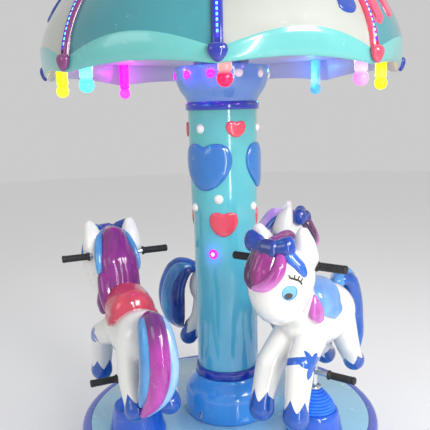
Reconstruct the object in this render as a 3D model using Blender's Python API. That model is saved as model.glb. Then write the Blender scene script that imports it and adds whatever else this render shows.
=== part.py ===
"""A three-seat kiddie carousel: a drum base, a turning platform with a column and an umbrella
canopy, and three galloping ponies on posts. Metres, +Z up, origin at the base's centre on the floor.

Angles round the column are azimuths: 0 faces the front (-Y) and they grow towards +X.
Pony pieces are modelled in the pony's own frame: +X forward, +Y to its left, Z above the floor.
"""

import math

import bmesh
import bpy
from mathutils import Matrix, Vector

# Fit
GAP = 0.0003
GUIDE_CLEARANCE = 0.0005
WELD = 0.0001

# Base and platform
BASE_RADIUS = 0.600
BASE_FOOT_HEIGHT = 0.020
BASE_TOP = 0.163
BEARING_RADIUS = 0.220
PLATFORM_RADIUS = 0.672
PLATFORM_TOP = 0.250
DECK_RADIUS = 0.6315
DECK_BOTTOM = 0.175
RIM_BOTTOM = 0.170

# Column
COLUMN_OUTLINE = [(0.439, 0.137), (1.165, 0.137), (1.205, 0.144), (1.400, 0.146), (1.615, 0.149)]
FOOT_TOP = 0.439
LOWER_BAND_TOP = 0.479
UPPER_BAND_BOTTOM = 1.615
UPPER_BAND_TOP = 1.647
CAPITAL_TOP = 1.794
CAPITAL_RADIUS = 0.203
SPIGOT_RADIUS = 0.120
MOTIF_TURN = 120

# Canopy
RIB_COUNT = 8
FIRST_RIB = -1.66
COLUMNS_PER_PANEL = 6
RIM_RADIUS = 0.745
RIM_WALL = 0.014
RIM_TIP = 1.752
RIM_SCALLOP = 0.023
RIM_TUCK = 0.018
CREASE_LOW = 1.800
CREASE_RISE = 0.065
DOME_CENTRE = 1.760
DOME_HEIGHT = 0.550
PANEL_PUFF = 0.012
CEILING_BOTTOM = 1.850
CEILING_THICKNESS = 0.016
CEILING_RADIUS = 0.712
RIB_HALF_WIDTH = 0.019
RIB_HEIGHT = 0.015
RIB_FROM = 4
RIB_TO = 86
KNOB_CENTRE = (0.758, 1.786)
KNOB_RADII = (0.020, 0.033, 0.030)
CROWN_RADIUS = 0.100
CROWN_TOP = 2.330
FINIAL_TOP = 2.400
LAMP_RING = 0.680
LAMP_BOTTOM = 1.683
LAMP_RADIUS = 0.027
LAMP_NECK_RADIUS = 0.024

# Posts and ponies
POST_RING = 0.441
PONY_ANGLES = {"right": -36.5, "left": 203.5, "rear": 83.5}
PONY_LIFTS = {"right": 0.0275, "left": -0.0275, "rear": -0.0275}
ROD_RADIUS = 0.0125
ROD_SOCKET_DEPTH = 0.060
PEDESTAL_TOP = 0.370
BELLOWS_TOP = 0.430
BELLOWS_FOLDS = 6
FOOTBAR_PLACE = (0.0225, 0.513)
FOOT_GRIP = (0.075, 0.190)
HANDLEBAR_PLACE = (0.222, 1.017)
HAND_GRIP = (0.122, 0.240)
BAR_RADIUS = 0.011
GRIP_RADIUS = 0.0155
BELLY = 0.605
SADDLE_HEM = 0.755
HEM_RISE = 0.45
SKIN_VOXEL = 0.012
SKIN_SHARE = 0.045

ROUND = 48
SMALL_ROUND = 16

COLOURS = {
    "sky_blue": "8CCBE0", "periwinkle": "5B6FC9", "royal_blue": "2B45B8", "foot_blue": "5C9BE6",
    "teal": "5FB4B4", "off_white": "E9EAE4", "lavender": "B4A8CC", "capital_blue": "7C9BD2",
    "rib_blue": "3540A8", "steel": "B9BCC2", "bellows_blue": "2F6FE0", "crimson": "F0265A",
    "cyan": "5FE8E8", "pink": "E87BE8", "lime": "D8F520", "yellow": "F5F020", "magenta": "F022D8",
    "lamp_blue": "4FA0F0", "green": "40D880", "purple": "8E2A9E", "navy": "24309A",
    "coral": "E8506E", "light_blue": "8FBCF0", "plum": "7A2A90",
}


def linear(code):
    """A colour code as linear values."""
    channels = [int(code[i : i + 2], 16) / 255 for i in (0, 2, 4)]
    return [c / 12.92 if c <= 0.04045 else ((c + 0.055) / 1.055) ** 2.4 for c in channels]


def material(colour, roughness=0.2, metallic=0.0):
    made = bpy.data.materials.get(colour)
    if made is None:
        made = bpy.data.materials.new(colour)
        made.use_nodes = True
        shader = made.node_tree.nodes["Principled BSDF"]
        shader.inputs["Base Color"].default_value = (*linear(COLOURS[colour]), 1)
        shader.inputs["Roughness"].default_value = roughness
        shader.inputs["Metallic"].default_value = metallic
    return made


def mesh_of(name, shape, recalculate=True):
    """A mesh from a bmesh, shaded smooth with its sharp edges kept."""
    if recalculate:
        bmesh.ops.recalc_face_normals(shape, faces=shape.faces)
    mesh = bpy.data.meshes.new(name)
    shape.to_mesh(mesh)
    shape.free()
    mesh.shade_smooth()
    mesh.set_sharp_from_angle(angle=math.radians(35))
    return mesh


def place(name, mesh, colour, parent=None, location=(0, 0, 0), turn=0):
    """An object with its own colour, standing at its place."""
    made = bpy.data.objects.new(name, mesh)
    bpy.context.scene.collection.objects.link(made)
    if colour and not mesh.materials:
        mesh.materials.append(None)
    if colour:
        made.material_slots[0].link = "OBJECT"
        made.material_slots[0].material = material(colour)
    made.parent = parent
    made.location = location
    made.rotation_euler = (0, 0, turn)
    return made


def helper(name, mesh):
    """A cutter or guide: in the file, but not one of the pieces."""
    made = place(name, mesh, None)
    made.hide_render = True
    made.display_type = "WIRE"
    return made


def boolean(target, tool, operation, use_self=False):
    step = target.modifiers.new(operation.title(), "BOOLEAN")
    step.operation = operation
    step.object = tool
    step.use_self = use_self


def frozen(target, name):
    """The object's shape with its modifiers applied, as a mesh of its own; the object is removed."""
    bpy.context.view_layer.update()
    graph = bpy.context.evaluated_depsgraph_get()
    shape = bmesh.new()
    shape.from_mesh(target.evaluated_get(graph).to_mesh())
    bmesh.ops.dissolve_degenerate(shape, dist=WELD, edges=shape.edges)
    bmesh.ops.triangulate(shape, faces=shape.faces)
    bpy.data.objects.remove(target, do_unlink=True)
    return mesh_of(name, shape, recalculate=False)


def swollen(name, mesh, by=GAP):
    """A cutter that is the mesh's shape grown by the fitting gap."""
    made = helper(name, mesh)
    step = made.modifiers.new("Grow", "DISPLACE")
    step.mid_level = 0
    step.strength = by
    return made


def ring(shape, radius, height, segments, start=0.0):
    if radius < 1e-6:
        return [shape.verts.new((0, 0, height))]
    turns = [start + math.tau * i / segments for i in range(segments)]
    return [shape.verts.new((radius * math.cos(a), radius * math.sin(a), height)) for a in turns]


def bridge(shape, lower, upper):
    """Faces between two rings of points; a ring of one point makes a fan."""
    count = max(len(lower), len(upper))
    for i in range(count):
        after = (i + 1) % count
        corners = [lower[i % len(lower)], lower[after % len(lower)]]
        corners += [upper[after % len(upper)], upper[i % len(upper)]]
        shape.faces.new(list(dict.fromkeys(corners)))


def turned(name, profile, segments=ROUND, bored=False):
    """A turned mesh. The profile is (radius, height) points from axis to axis, or a closed loop if bored."""
    shape = bmesh.new()
    rings = [ring(shape, radius, height, segments) for radius, height in profile]
    uppers = rings[1:] + rings[:1] if bored else rings[1:]
    for lower, upper in zip(rings, uppers):
        bridge(shape, lower, upper)
    return mesh_of(name, shape)


def solid_disc(radius, bottom, top):
    return [(0, bottom), (radius, bottom), (radius, top), (0, top)]


def around(azimuth, radius, height):
    """A point at an azimuth in degrees."""
    angle = math.radians(azimuth)
    return Vector((radius * math.sin(angle), -radius * math.cos(angle), height))


def ball(shape, centre, radii, segments=10, rings=7):
    turn = Matrix.Translation(centre) @ Matrix.Diagonal((*radii, 1))
    bmesh.ops.create_uvsphere(shape, u_segments=segments, v_segments=rings, radius=1, matrix=turn)


def limb(shape, stations):
    """A tapered limb: each pair of stations is wrapped in one convex form.

    A station is (x, y, z, radius), or (x, y, z) and three radii.
    """
    for pair in zip(stations, stations[1:]):
        part = bmesh.new()
        for x, y, z, *radii in pair:
            ball(part, (x, y, z), radii if len(radii) == 3 else radii * 3, 16, 11)
        hull = bmesh.ops.convex_hull(part, input=part.verts)
        inside = [v for v in hull["geom_interior"] if isinstance(v, bmesh.types.BMVert)]
        bmesh.ops.delete(part, geom=inside, context="VERTS")
        loose = bpy.data.meshes.new("limb")
        part.to_mesh(loose)
        part.free()
        shape.from_mesh(loose)
        bpy.data.meshes.remove(loose)


def skin(name, shape, voxel=SKIN_VOXEL, share=SKIN_SHARE, rounding=2):
    """The overlapping forms of a bmesh as one smooth moulded body."""
    made = helper(name + "_form", mesh_of(name, shape))
    melt = made.modifiers.new("Melt", "REMESH")
    melt.mode = "VOXEL"
    melt.voxel_size = voxel
    ease = made.modifiers.new("Ease", "SMOOTH")
    ease.iterations = rounding
    fewer = made.modifiers.new("Fewer", "DECIMATE")
    fewer.ratio = share
    return made


def base_and_platform():
    drum = [(0, 0), (BASE_RADIUS, 0), (BASE_RADIUS, BASE_FOOT_HEIGHT)]
    drum += [(BASE_RADIUS - 0.020, BASE_FOOT_HEIGHT + 0.012), (BASE_RADIUS - 0.020, BASE_TOP - 0.030)]
    drum += [(BASE_RADIUS - 0.008, BASE_TOP - 0.006), (BASE_RADIUS - 0.014, BASE_TOP)]
    drum += [(BEARING_RADIUS, BASE_TOP), (BEARING_RADIUS, DECK_BOTTOM - GAP), (0, DECK_BOTTOM - GAP)]
    place("base_drum", turned("base_drum", drum), "foot_blue")
    deck = solid_disc(DECK_RADIUS - GAP, DECK_BOTTOM, PLATFORM_TOP)
    place("platform_deck", turned("platform_deck", deck), "sky_blue")
    rim = [(DECK_RADIUS, RIM_BOTTOM), (PLATFORM_RADIUS - 0.006, RIM_BOTTOM)]
    rim += [(PLATFORM_RADIUS, RIM_BOTTOM + 0.010), (PLATFORM_RADIUS, PLATFORM_TOP - 0.024)]
    rim += [(PLATFORM_RADIUS - 0.006, PLATFORM_TOP - 0.008), (PLATFORM_RADIUS - 0.020, PLATFORM_TOP)]
    rim += [(DECK_RADIUS + 0.006, PLATFORM_TOP), (DECK_RADIUS, PLATFORM_TOP - 0.004)]
    place("platform_rim", turned("platform_rim", rim, bored=True), "periwinkle")


def column_radius(height):
    """The column's radius at a height: a little wider above the knee than below."""
    for (low, first), (high, second) in zip(COLUMN_OUTLINE, COLUMN_OUTLINE[1:]):
        if height <= high:
            return first + (second - first) * max(height - low, 0) / (high - low)
    return COLUMN_OUTLINE[-1][1]


def heart(shape, azimuth, height, arc, tall, bulge, points=18, steps=2):
    """A cushioned heart wrapped on the column, from a closed heart curve scaled in rings."""
    bottom = column_radius(height) - 0.012
    rings = []
    for step in range(steps + 1):
        scale = 1 - step / (steps + 0.6)
        level = []
        for i in range(points):
            t = math.tau * (i + 0.5) / points
            across = math.sin(t) ** 3
            up = (13 * math.cos(t) - 5 * math.cos(2 * t) - 2 * math.cos(3 * t) - math.cos(4 * t)) / 29
            level_of = height + scale * (up + 0.1) * tall
            radius = column_radius(level_of) + bulge * (1 - 0.65 * scale * scale)
            level.append(shape.verts.new(around(azimuth + scale * across * arc / 2, radius, level_of)))
        rings.append(level)
    root = []
    for vertex in rings[0]:
        flat = Vector((vertex.co.x, vertex.co.y, 0)).normalized() * bottom
        root.append(shape.verts.new((flat.x, flat.y, vertex.co.z)))
    bridge(shape, root, rings[0])
    for outer, inner in zip(rings, rings[1:]):
        bridge(shape, outer, inner)
    middle = shape.verts.new(around(azimuth, column_radius(height) + bulge, height + 0.1 * tall))
    bridge(shape, rings[-1], [middle])
    core = shape.verts.new(around(azimuth, bottom - 0.060, height + 0.1 * tall))
    bridge(shape, root, [core])


def column():
    foot = [(0, PLATFORM_TOP + GAP), (0.186, PLATFORM_TOP + GAP), (0.195, PLATFORM_TOP + 0.014)]
    foot += [(0.199, PLATFORM_TOP + 0.080), (0.196, PLATFORM_TOP + 0.120), (0.178, FOOT_TOP - 0.036)]
    foot += [(0.152, FOOT_TOP), (0, FOOT_TOP)]
    place("column_foot", turned("column_foot", foot, 36), "foot_blue")
    bands = {"lower": (FOOT_TOP, LOWER_BAND_TOP), "upper": (UPPER_BAND_BOTTOM, UPPER_BAND_TOP)}
    for side, (bottom, top) in bands.items():
        lip = column_radius(bottom) + 0.009
        name = "column_band_" + side
        place(name, turned(name, solid_disc(lip, bottom + GAP, top), 36), "royal_blue")
    hearts = bmesh.new()
    for turn in range(0, 360, MOTIF_TURN):
        heart(hearts, turn - 34, 1.375, 96, 0.195, 0.018)
        heart(hearts, turn - 3, 1.135, 49, 0.104, 0.012, 14, 1)
        heart(hearts, turn + 21, 1.533, 34, 0.066, 0.009, 14, 1)
    tool = helper("heart_forms", mesh_of("heart_forms", hearts))
    foot_radius, head_radius = COLUMN_OUTLINE[0][1], COLUMN_OUTLINE[-1][1]
    shaft = [(0, LOWER_BAND_TOP + GAP), (foot_radius, LOWER_BAND_TOP + GAP)]
    shaft += [(radius, height) for height, radius in COLUMN_OUTLINE[1:]] + [(0, UPPER_BAND_BOTTOM)]
    made = place("column_shaft", turned("column_shaft", shaft, 36), "teal")
    boolean(made, tool, "UNION")
    capital = [(0, UPPER_BAND_TOP + GAP), (head_radius + 0.001, UPPER_BAND_TOP + GAP)]
    capital += [(0.156, 1.665), (0.170, 1.682), (0.186, 1.710), (0.196, 1.738)]
    capital += [(CAPITAL_RADIUS, CAPITAL_TOP - 0.008), (CAPITAL_RADIUS - 0.003, CAPITAL_TOP)]
    capital += [(SPIGOT_RADIUS, CAPITAL_TOP), (SPIGOT_RADIUS, CEILING_BOTTOM - GAP), (0, CEILING_BOTTOM - GAP)]
    place("column_capital", turned("column_capital", capital, 36), "capital_blue")


def dome_point(swell, lift):
    """(radius, height) of the canopy's outside. Swell is 0 on a rib and 1 mid-panel; lift is in radians."""
    puff = PANEL_PUFF * swell * math.sin(2 * lift) ** 0.6
    radius = (RIM_RADIUS + puff) * math.cos(lift)
    return radius, DOME_CENTRE + (DOME_HEIGHT + puff) * math.sin(lift)


def crease_lift(swell):
    return math.asin((CREASE_LOW + CREASE_RISE * swell - DOME_CENTRE) / DOME_HEIGHT)


def canopy():
    columns = RIB_COUNT * COLUMNS_PER_PANEL
    crown_lift = math.radians(82)
    shape = bmesh.new()
    outside = []
    for row in range(7):
        level = []
        for column_index in range(columns):
            swell = math.sin(math.pi * (column_index % COLUMNS_PER_PANEL) / COLUMNS_PER_PANEL)
            azimuth = FIRST_RIB + 360 * column_index / columns
            if row == 0:
                radius, height = RIM_RADIUS - RIM_TUCK * swell, RIM_TIP + RIM_SCALLOP * swell
            else:
                start = crease_lift(swell)
                radius, height = dome_point(swell, start + (crown_lift - start) * ((row - 1) / 5) ** 1.1)
            level.append(shape.verts.new(around(azimuth, radius, height)))
        outside.append(level)
    inside = []
    inner_rows = [(RIM_RADIUS - RIM_WALL, None), (CEILING_RADIUS, CEILING_BOTTOM - 0.005)]
    inner_rows += [(CEILING_RADIUS, CEILING_BOTTOM + CEILING_THICKNESS + 0.006), (0.600, 2.020)]
    inner_rows += [(0.380, 2.190)]
    for radius, height in inner_rows:
        level = []
        for column_index in range(columns):
            swell = math.sin(math.pi * (column_index % COLUMNS_PER_PANEL) / COLUMNS_PER_PANEL)
            azimuth = FIRST_RIB + 360 * column_index / columns
            if height is None:
                spot = around(azimuth, radius - RIM_TUCK * swell, RIM_TIP + RIM_SCALLOP * swell)
            else:
                spot = around(azimuth, radius, height)
            level.append(shape.verts.new(spot))
        inside.append(level)
    for lower, upper in zip(outside, outside[1:]):
        bridge(shape, lower, upper)
    for lower, upper in zip(inside, inside[1:]):
        bridge(shape, lower, upper)
    bridge(shape, outside[0], inside[0])
    crown = shape.verts.new((0, 0, DOME_CENTRE + DOME_HEIGHT))
    bridge(shape, outside[-1], [crown])
    bridge(shape, inside[-1], [shape.verts.new((0, 0, 2.260))])
    bmesh.ops.triangulate(shape, faces=shape.faces)
    shell = mesh_of("canopy_shell", shape)
    place("canopy_shell", shell, "off_white")

    lid = bmesh.new()
    levels = []
    for height in (CEILING_BOTTOM, CEILING_BOTTOM + CEILING_THICKNESS):
        azimuths = [FIRST_RIB + 360 * i / columns for i in range(columns)]
        levels.append([lid.verts.new(around(a, CEILING_RADIUS - GAP, height)) for a in azimuths])
    bridge(lid, *levels)
    lid.faces.new(levels[0])
    lid.faces.new(levels[1])
    place("canopy_ceiling", mesh_of("canopy_ceiling", lid), "lavender")

    ribs = bmesh.new()
    section = [(-1, -0.8), (-0.7, 0.75), (0, 1), (0.7, 0.75), (1, -0.8)]
    stations = 7
    for index in range(RIB_COUNT):
        azimuth = FIRST_RIB + 360 * index / RIB_COUNT
        side = around(azimuth + 90, 1, 0)
        rings = []
        for station in range(stations):
            lift = math.radians(RIB_FROM + (RIB_TO - RIB_FROM) * station / (stations - 1))
            radius, height = dome_point(0, lift)
            out = around(azimuth, math.cos(lift) / RIM_RADIUS, math.sin(lift) / DOME_HEIGHT).normalized()
            middle = around(azimuth, radius, height) + out * 0.003
            corners = [middle + side * across * RIB_HALF_WIDTH + out * up * RIB_HEIGHT for across, up in section]
            rings.append([ribs.verts.new(corner) for corner in corners])
        for lower, upper in zip(rings, rings[1:]):
            bridge(ribs, lower, upper)
        ribs.faces.new(rings[0])
        ribs.faces.new(rings[-1])
        turn = Matrix.Rotation(math.radians(azimuth - 90), 4, "Z")
        at = around(azimuth, *KNOB_CENTRE)
        grow = Matrix.Diagonal((*KNOB_RADII, 1))
        matrix = Matrix.Translation(at) @ turn @ grow
        bmesh.ops.create_uvsphere(ribs, u_segments=8, v_segments=5, radius=1, matrix=matrix)
    boss = [(0, 2.270), (CROWN_RADIUS, 2.270), (CROWN_RADIUS, CROWN_TOP - 0.010)]
    boss += [(CROWN_RADIUS - 0.010, CROWN_TOP), (0, CROWN_TOP)]
    rings = [ring(ribs, radius, height, 24) for radius, height in boss]
    for lower, upper in zip(rings, rings[1:]):
        bridge(ribs, lower, upper)
    made = place("canopy_ribs", mesh_of("canopy_ribs", ribs), "rib_blue")
    boolean(made, swollen("shell_form", shell.copy()), "DIFFERENCE", use_self=True)

    finial = [(0, CROWN_TOP + GAP), (0.050, CROWN_TOP + GAP), (0.046, CROWN_TOP + 0.008)]
    finial += [(0.016, CROWN_TOP + 0.012), (0.025, CROWN_TOP + 0.022), (0.031, CROWN_TOP + 0.038)]
    finial += [(0.025, CROWN_TOP + 0.054), (0.010, CROWN_TOP + 0.063), (0, FINIAL_TOP)]
    place("canopy_finial", turned("canopy_finial", finial, 20), "coral")


def lamps():
    colours = ["crimson", "pink", "yellow", "lamp_blue", "green", "magenta", "lime", "cyan"]
    neck = LAMP_BOTTOM + 2 * LAMP_RADIUS - 0.006
    middle = LAMP_BOTTOM + LAMP_RADIUS
    profile = [(0, LAMP_BOTTOM), (0.017, LAMP_BOTTOM + 0.006), (LAMP_RADIUS, middle), (0.019, neck)]
    profile += [(LAMP_NECK_RADIUS, neck + 0.008), (LAMP_NECK_RADIUS, CEILING_BOTTOM - GAP)]
    profile += [(0, CEILING_BOTTOM - GAP)]
    mesh = turned("lamp", profile, 12)
    for index, colour in enumerate(colours):
        spot = around(360 * index / len(colours), LAMP_RING, 0)
        place(f"lamp_{index + 1}", mesh, colour, location=spot)


def pony_forms():
    """The pony's moulded body, before it is fitted with its bores."""
    form = bmesh.new()
    limb(form, [(0.095, 0, 0.738, 0.110, 0.096, 0.114), (-0.040, 0, 0.724, 0.110, 0.109, 0.110)])
    limb(form, [(-0.040, 0, 0.724, 0.110, 0.109, 0.110), (-0.130, 0, 0.738, 0.110, 0.114, 0.115)])
    limb(form, [(0.140, 0.004, 0.800, 0.074, 0.080, 0.086), (0.212, 0.006, 0.940, 0.080, 0.082, 0.088)])
    limb(form, [(0.290, 0.008, 0.983, 0.133, 0.131, 0.128), (0.290, 0.008, 0.928, 0.126, 0.110, 0.130)])
    for side in (1, -1):
        ear = 0.008 + 0.086 * side
        limb(form, [(0.255, ear, 1.045, 0.044), (0.268, ear, 1.112, 0.036), (0.276, ear, 1.162, 0.022)])
        limb(form, [(-0.138, 0.043 * side, 0.718, 0.068), (-0.172, 0.066 * side, 0.590, 0.052)])
        limb(form, [(-0.172, 0.066 * side, 0.590, 0.052), (-0.222, 0.068 * side, 0.510, 0.044)])
        limb(form, [(-0.222, 0.068 * side, 0.510, 0.044), (-0.240, 0.069 * side, 0.487, 0.048)])
    limb(form, [(0.125, 0.042, 0.700, 0.070), (0.258, 0.074, 0.640, 0.055), (0.296, 0.077, 0.490, 0.046)])
    limb(form, [(0.296, 0.077, 0.490, 0.046), (0.302, 0.078, 0.450, 0.051)])
    limb(form, [(0.125, -0.042, 0.700, 0.070), (0.225, -0.078, 0.600, 0.057), (0.278, -0.082, 0.480, 0.046)])
    limb(form, [(0.278, -0.082, 0.480, 0.046), (0.285, -0.082, 0.436, 0.051)])
    return form


def pony_mane():
    """The mane down the neck's back with a side lock, running over the poll into the forelock."""
    form = bmesh.new()
    limb(form, [(0.108, 0.014, 0.815, 0.062, 0.076, 0.062), (0.138, 0.012, 0.885, 0.070, 0.090, 0.072)])
    limb(form, [(0.138, 0.012, 0.885, 0.070, 0.090, 0.072), (0.165, 0.009, 0.985, 0.070, 0.089, 0.080)])
    limb(form, [(0.165, 0.009, 0.985, 0.070, 0.089, 0.080), (0.215, 0.010, 1.095, 0.056, 0.055, 0.056)])
    limb(form, [(0.215, 0.010, 1.095, 0.056, 0.055, 0.056), (0.300, 0.006, 1.100, 0.050)])
    limb(form, [(0.300, 0.006, 1.100, 0.050), (0.365, -0.008, 1.058, 0.048, 0.078, 0.046)])
    limb(form, [(0.365, -0.008, 1.058, 0.048, 0.078, 0.046), (0.396, -0.004, 1.012, 0.036, 0.074, 0.044)])
    limb(form, [(0.396, -0.004, 1.012, 0.036, 0.074, 0.044), (0.408, -0.010, 0.980, 0.026, 0.046, 0.030)])
    limb(form, [(0.165, 0.076, 0.866, 0.022, 0.018, 0.022), (0.160, 0.085, 0.824, 0.047, 0.024, 0.038)])
    limb(form, [(0.160, 0.085, 0.824, 0.047, 0.024, 0.038), (0.142, 0.088, 0.792, 0.028, 0.020, 0.024)])
    return form


def pony_tail():
    form = bmesh.new()
    limb(form, [(-0.225, 0, 0.828, 0.034), (-0.280, -0.006, 0.822, 0.048), (-0.328, -0.012, 0.740, 0.064)])
    limb(form, [(-0.328, -0.012, 0.740, 0.064), (-0.338, -0.010, 0.640, 0.065)])
    limb(form, [(-0.338, -0.010, 0.640, 0.065), (-0.332, 0.006, 0.555, 0.054)])
    limb(form, [(-0.332, 0.006, 0.555, 0.054), (-0.305, 0.040, 0.500, 0.034), (-0.290, 0.056, 0.482, 0.018)])
    return form


def pony_saddle():
    form = bmesh.new()
    limb(form, [(-0.024, 0.004, 0.808, 0.062, 0.098, 0.096), (0.064, 0, 0.812, 0.078, 0.102, 0.100)])
    limb(form, [(-0.018, 0, 0.780, 0.080, 0.112, 0.070), (0.050, 0, 0.775, 0.080, 0.108, 0.070)])
    return form


def pony_bow():
    form = bmesh.new()
    for side in (1, -1):
        limb(form, [(0.350, 0.008, 1.104, 0.036), (0.343, 0.008 + 0.062 * side, 1.108, 0.041)])
    limb(form, [(0.366, 0.034, 1.092, 0.016), (0.345, 0.100, 1.058, 0.017), (0.318, 0.128, 1.018, 0.016)])
    return form


def crossbar(shape, place_of, grip, segments=12):
    """A steel bar from side to side with a rubber grip on each end, at (forward, height)."""
    inner, outer = grip
    profile = [(0, -outer), (GRIP_RADIUS, -outer), (GRIP_RADIUS, -inner - 0.006)]
    profile += [(GRIP_RADIUS + 0.004, -inner - 0.006), (GRIP_RADIUS + 0.004, -inner), (BAR_RADIUS, -inner)]
    profile += [(radius, -height) for radius, height in reversed(profile)]
    rings = [ring(shape, radius, height, segments) for radius, height in profile]
    for lower, upper in zip(rings, rings[1:]):
        bridge(shape, lower, upper)
    made = {vertex for level in rings for vertex in level}
    at = Matrix.Translation((place_of[0], 0, place_of[1]))
    bmesh.ops.transform(shape, matrix=at @ Matrix.Rotation(math.pi / 2, 4, "X"), verts=list(made))


def bellows(name, top):
    """A ribbed rubber boot from the pedestal up to the post's collar."""
    outline = [(0.0165, PEDESTAL_TOP + GAP)]
    tall = (top - PEDESTAL_TOP - GAP) / BELLOWS_FOLDS
    for fold in range(BELLOWS_FOLDS):
        wide = 0.086 - 0.048 * fold / (BELLOWS_FOLDS - 1)
        start = PEDESTAL_TOP + GAP + fold * tall
        outline += [(wide - 0.007, start), (wide, start + tall * 0.5)]
    outline += [(0.031, top), (0.0165, top)]
    return turned(name, outline, SMALL_ROUND, bored=True)


def rod(radius, bottom, top, name):
    return turned(name, solid_disc(radius, bottom, top), SMALL_ROUND)


def ponies():
    rod_top = BELLY + ROD_SOCKET_DEPTH
    body = skin("pony_body", pony_forms())
    handlebar = bmesh.new()
    crossbar(handlebar, HANDLEBAR_PLACE, HAND_GRIP)
    handlebar_mesh = mesh_of("handlebar", handlebar)
    bar_cutter = swollen("bar_room", handlebar_mesh.copy(), 1.5 * GAP)
    rod_cutter = helper("rod_bore", rod(ROD_RADIUS + GAP, 0.3, rod_top + GAP, "rod_bore"))
    for tool in (bar_cutter, rod_cutter):
        boolean(body, tool, "DIFFERENCE")
    body_mesh = frozen(body, "pony_body")
    body_cutter = swollen("body_room", body_mesh.copy())

    mane_form = frozen(skin("mane", pony_mane(), 0.010, 0.05), "mane_form")
    mane_cutter = swollen("mane_room", mane_form.copy())
    mane = helper("mane_body", mane_form)
    for tool in (body_cutter, bar_cutter):
        boolean(mane, tool, "DIFFERENCE")
    mane_mesh = frozen(mane, "mane")

    bow = skin("bow", pony_bow(), 0.008, 0.06, 1)
    saddle = skin("saddle", pony_saddle(), 0.012, 0.06, 1)
    under = bmesh.new()
    outline = [(-0.3, 0.4), (0.3, 0.4), (0.3, SADDLE_HEM + 0.3 * HEM_RISE), (0.02, SADDLE_HEM)]
    outline.append((-0.3, SADDLE_HEM + 0.3 * HEM_RISE))
    bridge(under, *[[under.verts.new((x, y, z)) for x, z in outline] for y in (-0.3, 0.3)])
    bmesh.ops.contextual_create(under, geom=under.verts[:5])
    bmesh.ops.contextual_create(under, geom=under.verts[5:])
    boolean(saddle, helper("saddle_hem", mesh_of("saddle_hem", under)), "DIFFERENCE")
    for piece in (bow, saddle):
        for tool in (body_cutter, mane_cutter):
            boolean(piece, tool, "DIFFERENCE")
    tail = skin("tail", pony_tail(), 0.010, 0.08)
    boolean(tail, body_cutter, "DIFFERENCE")
    meshes = {"pony_body": body_mesh, "mane": mane_mesh}
    for name, piece in (("bow", bow), ("saddle", saddle), ("tail", tail)):
        meshes[name] = frozen(piece, name)

    meshes["handlebar"] = handlebar_mesh

    post = bmesh.new()
    crossbar(post, FOOTBAR_PLACE, FOOT_GRIP)
    rod_bottom = PLATFORM_TOP + 2 * GAP - min(PONY_LIFTS.values())
    profile = [(0, rod_bottom), (ROD_RADIUS, rod_bottom), (ROD_RADIUS, BELLOWS_TOP + GAP)]
    profile += [(0.028, BELLOWS_TOP + GAP), (0.028, BELLOWS_TOP + 0.014), (ROD_RADIUS, BELLOWS_TOP + 0.018)]
    profile += [(ROD_RADIUS, rod_top), (0, rod_top)]
    rings = [ring(post, radius, height, SMALL_ROUND) for radius, height in profile]
    for lower, upper in zip(rings, rings[1:]):
        bridge(post, lower, upper)
    whole = helper("post_form", mesh_of("post", post))
    nothing = helper("post_end", rod(0.001, rod_top + 0.5, rod_top + 0.6, "post_end"))
    boolean(whole, nothing, "DIFFERENCE", use_self=True)
    meshes["post"] = frozen(whole, "post")

    bore = ROD_RADIUS + GUIDE_CLEARANCE
    pedestal = [(bore, PLATFORM_TOP + GAP), (0.124, PLATFORM_TOP + GAP), (0.122, PLATFORM_TOP + 0.010)]
    pedestal += [(0.109, PLATFORM_TOP + 0.064), (0.101, PEDESTAL_TOP - 0.018), (0.097, PEDESTAL_TOP - 0.005)]
    pedestal += [(0.091, PEDESTAL_TOP), (bore, PEDESTAL_TOP)]
    meshes["pedestal"] = turned("pedestal", pedestal, SMALL_ROUND, bored=True)

    colours = {
        "pony_body": "off_white", "handlebar": "steel", "post": "steel", "bow": "royal_blue",
        "pedestal": "royal_blue",
    }
    hair = {
        "right": {"mane": "purple", "tail": "light_blue", "saddle": "light_blue"},
        "left": {"mane": "purple", "tail": "purple", "saddle": "coral"},
        "rear": {"mane": "lavender", "tail": "royal_blue", "saddle": "coral"},
    }
    for side, angle in PONY_ANGLES.items():
        turn = math.radians(angle)
        stand = bpy.data.objects.new("stand_" + side, None)
        bpy.context.scene.collection.objects.link(stand)
        stand.location = (POST_RING * math.cos(turn), POST_RING * math.sin(turn), 0)
        stand.rotation_euler = (0, 0, turn - math.pi / 2)
        for kind, mesh in meshes.items():
            lift = 0 if kind == "pedestal" else PONY_LIFTS[side]
            paint = {**colours, **hair[side]}[kind]
            place(f"{kind}_{side}", mesh, paint, parent=stand, location=(0, 0, lift))
        boot = bellows("bellows_" + side, BELLOWS_TOP + PONY_LIFTS[side])
        place("bellows_" + side, boot, "bellows_blue", parent=stand)


for old in list(bpy.data.objects):
    bpy.data.objects.remove(old, do_unlink=True)
base_and_platform()
column()
canopy()
lamps()
ponies()
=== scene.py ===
import math

import bmesh
import bpy
from mathutils import Matrix, Vector


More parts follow.
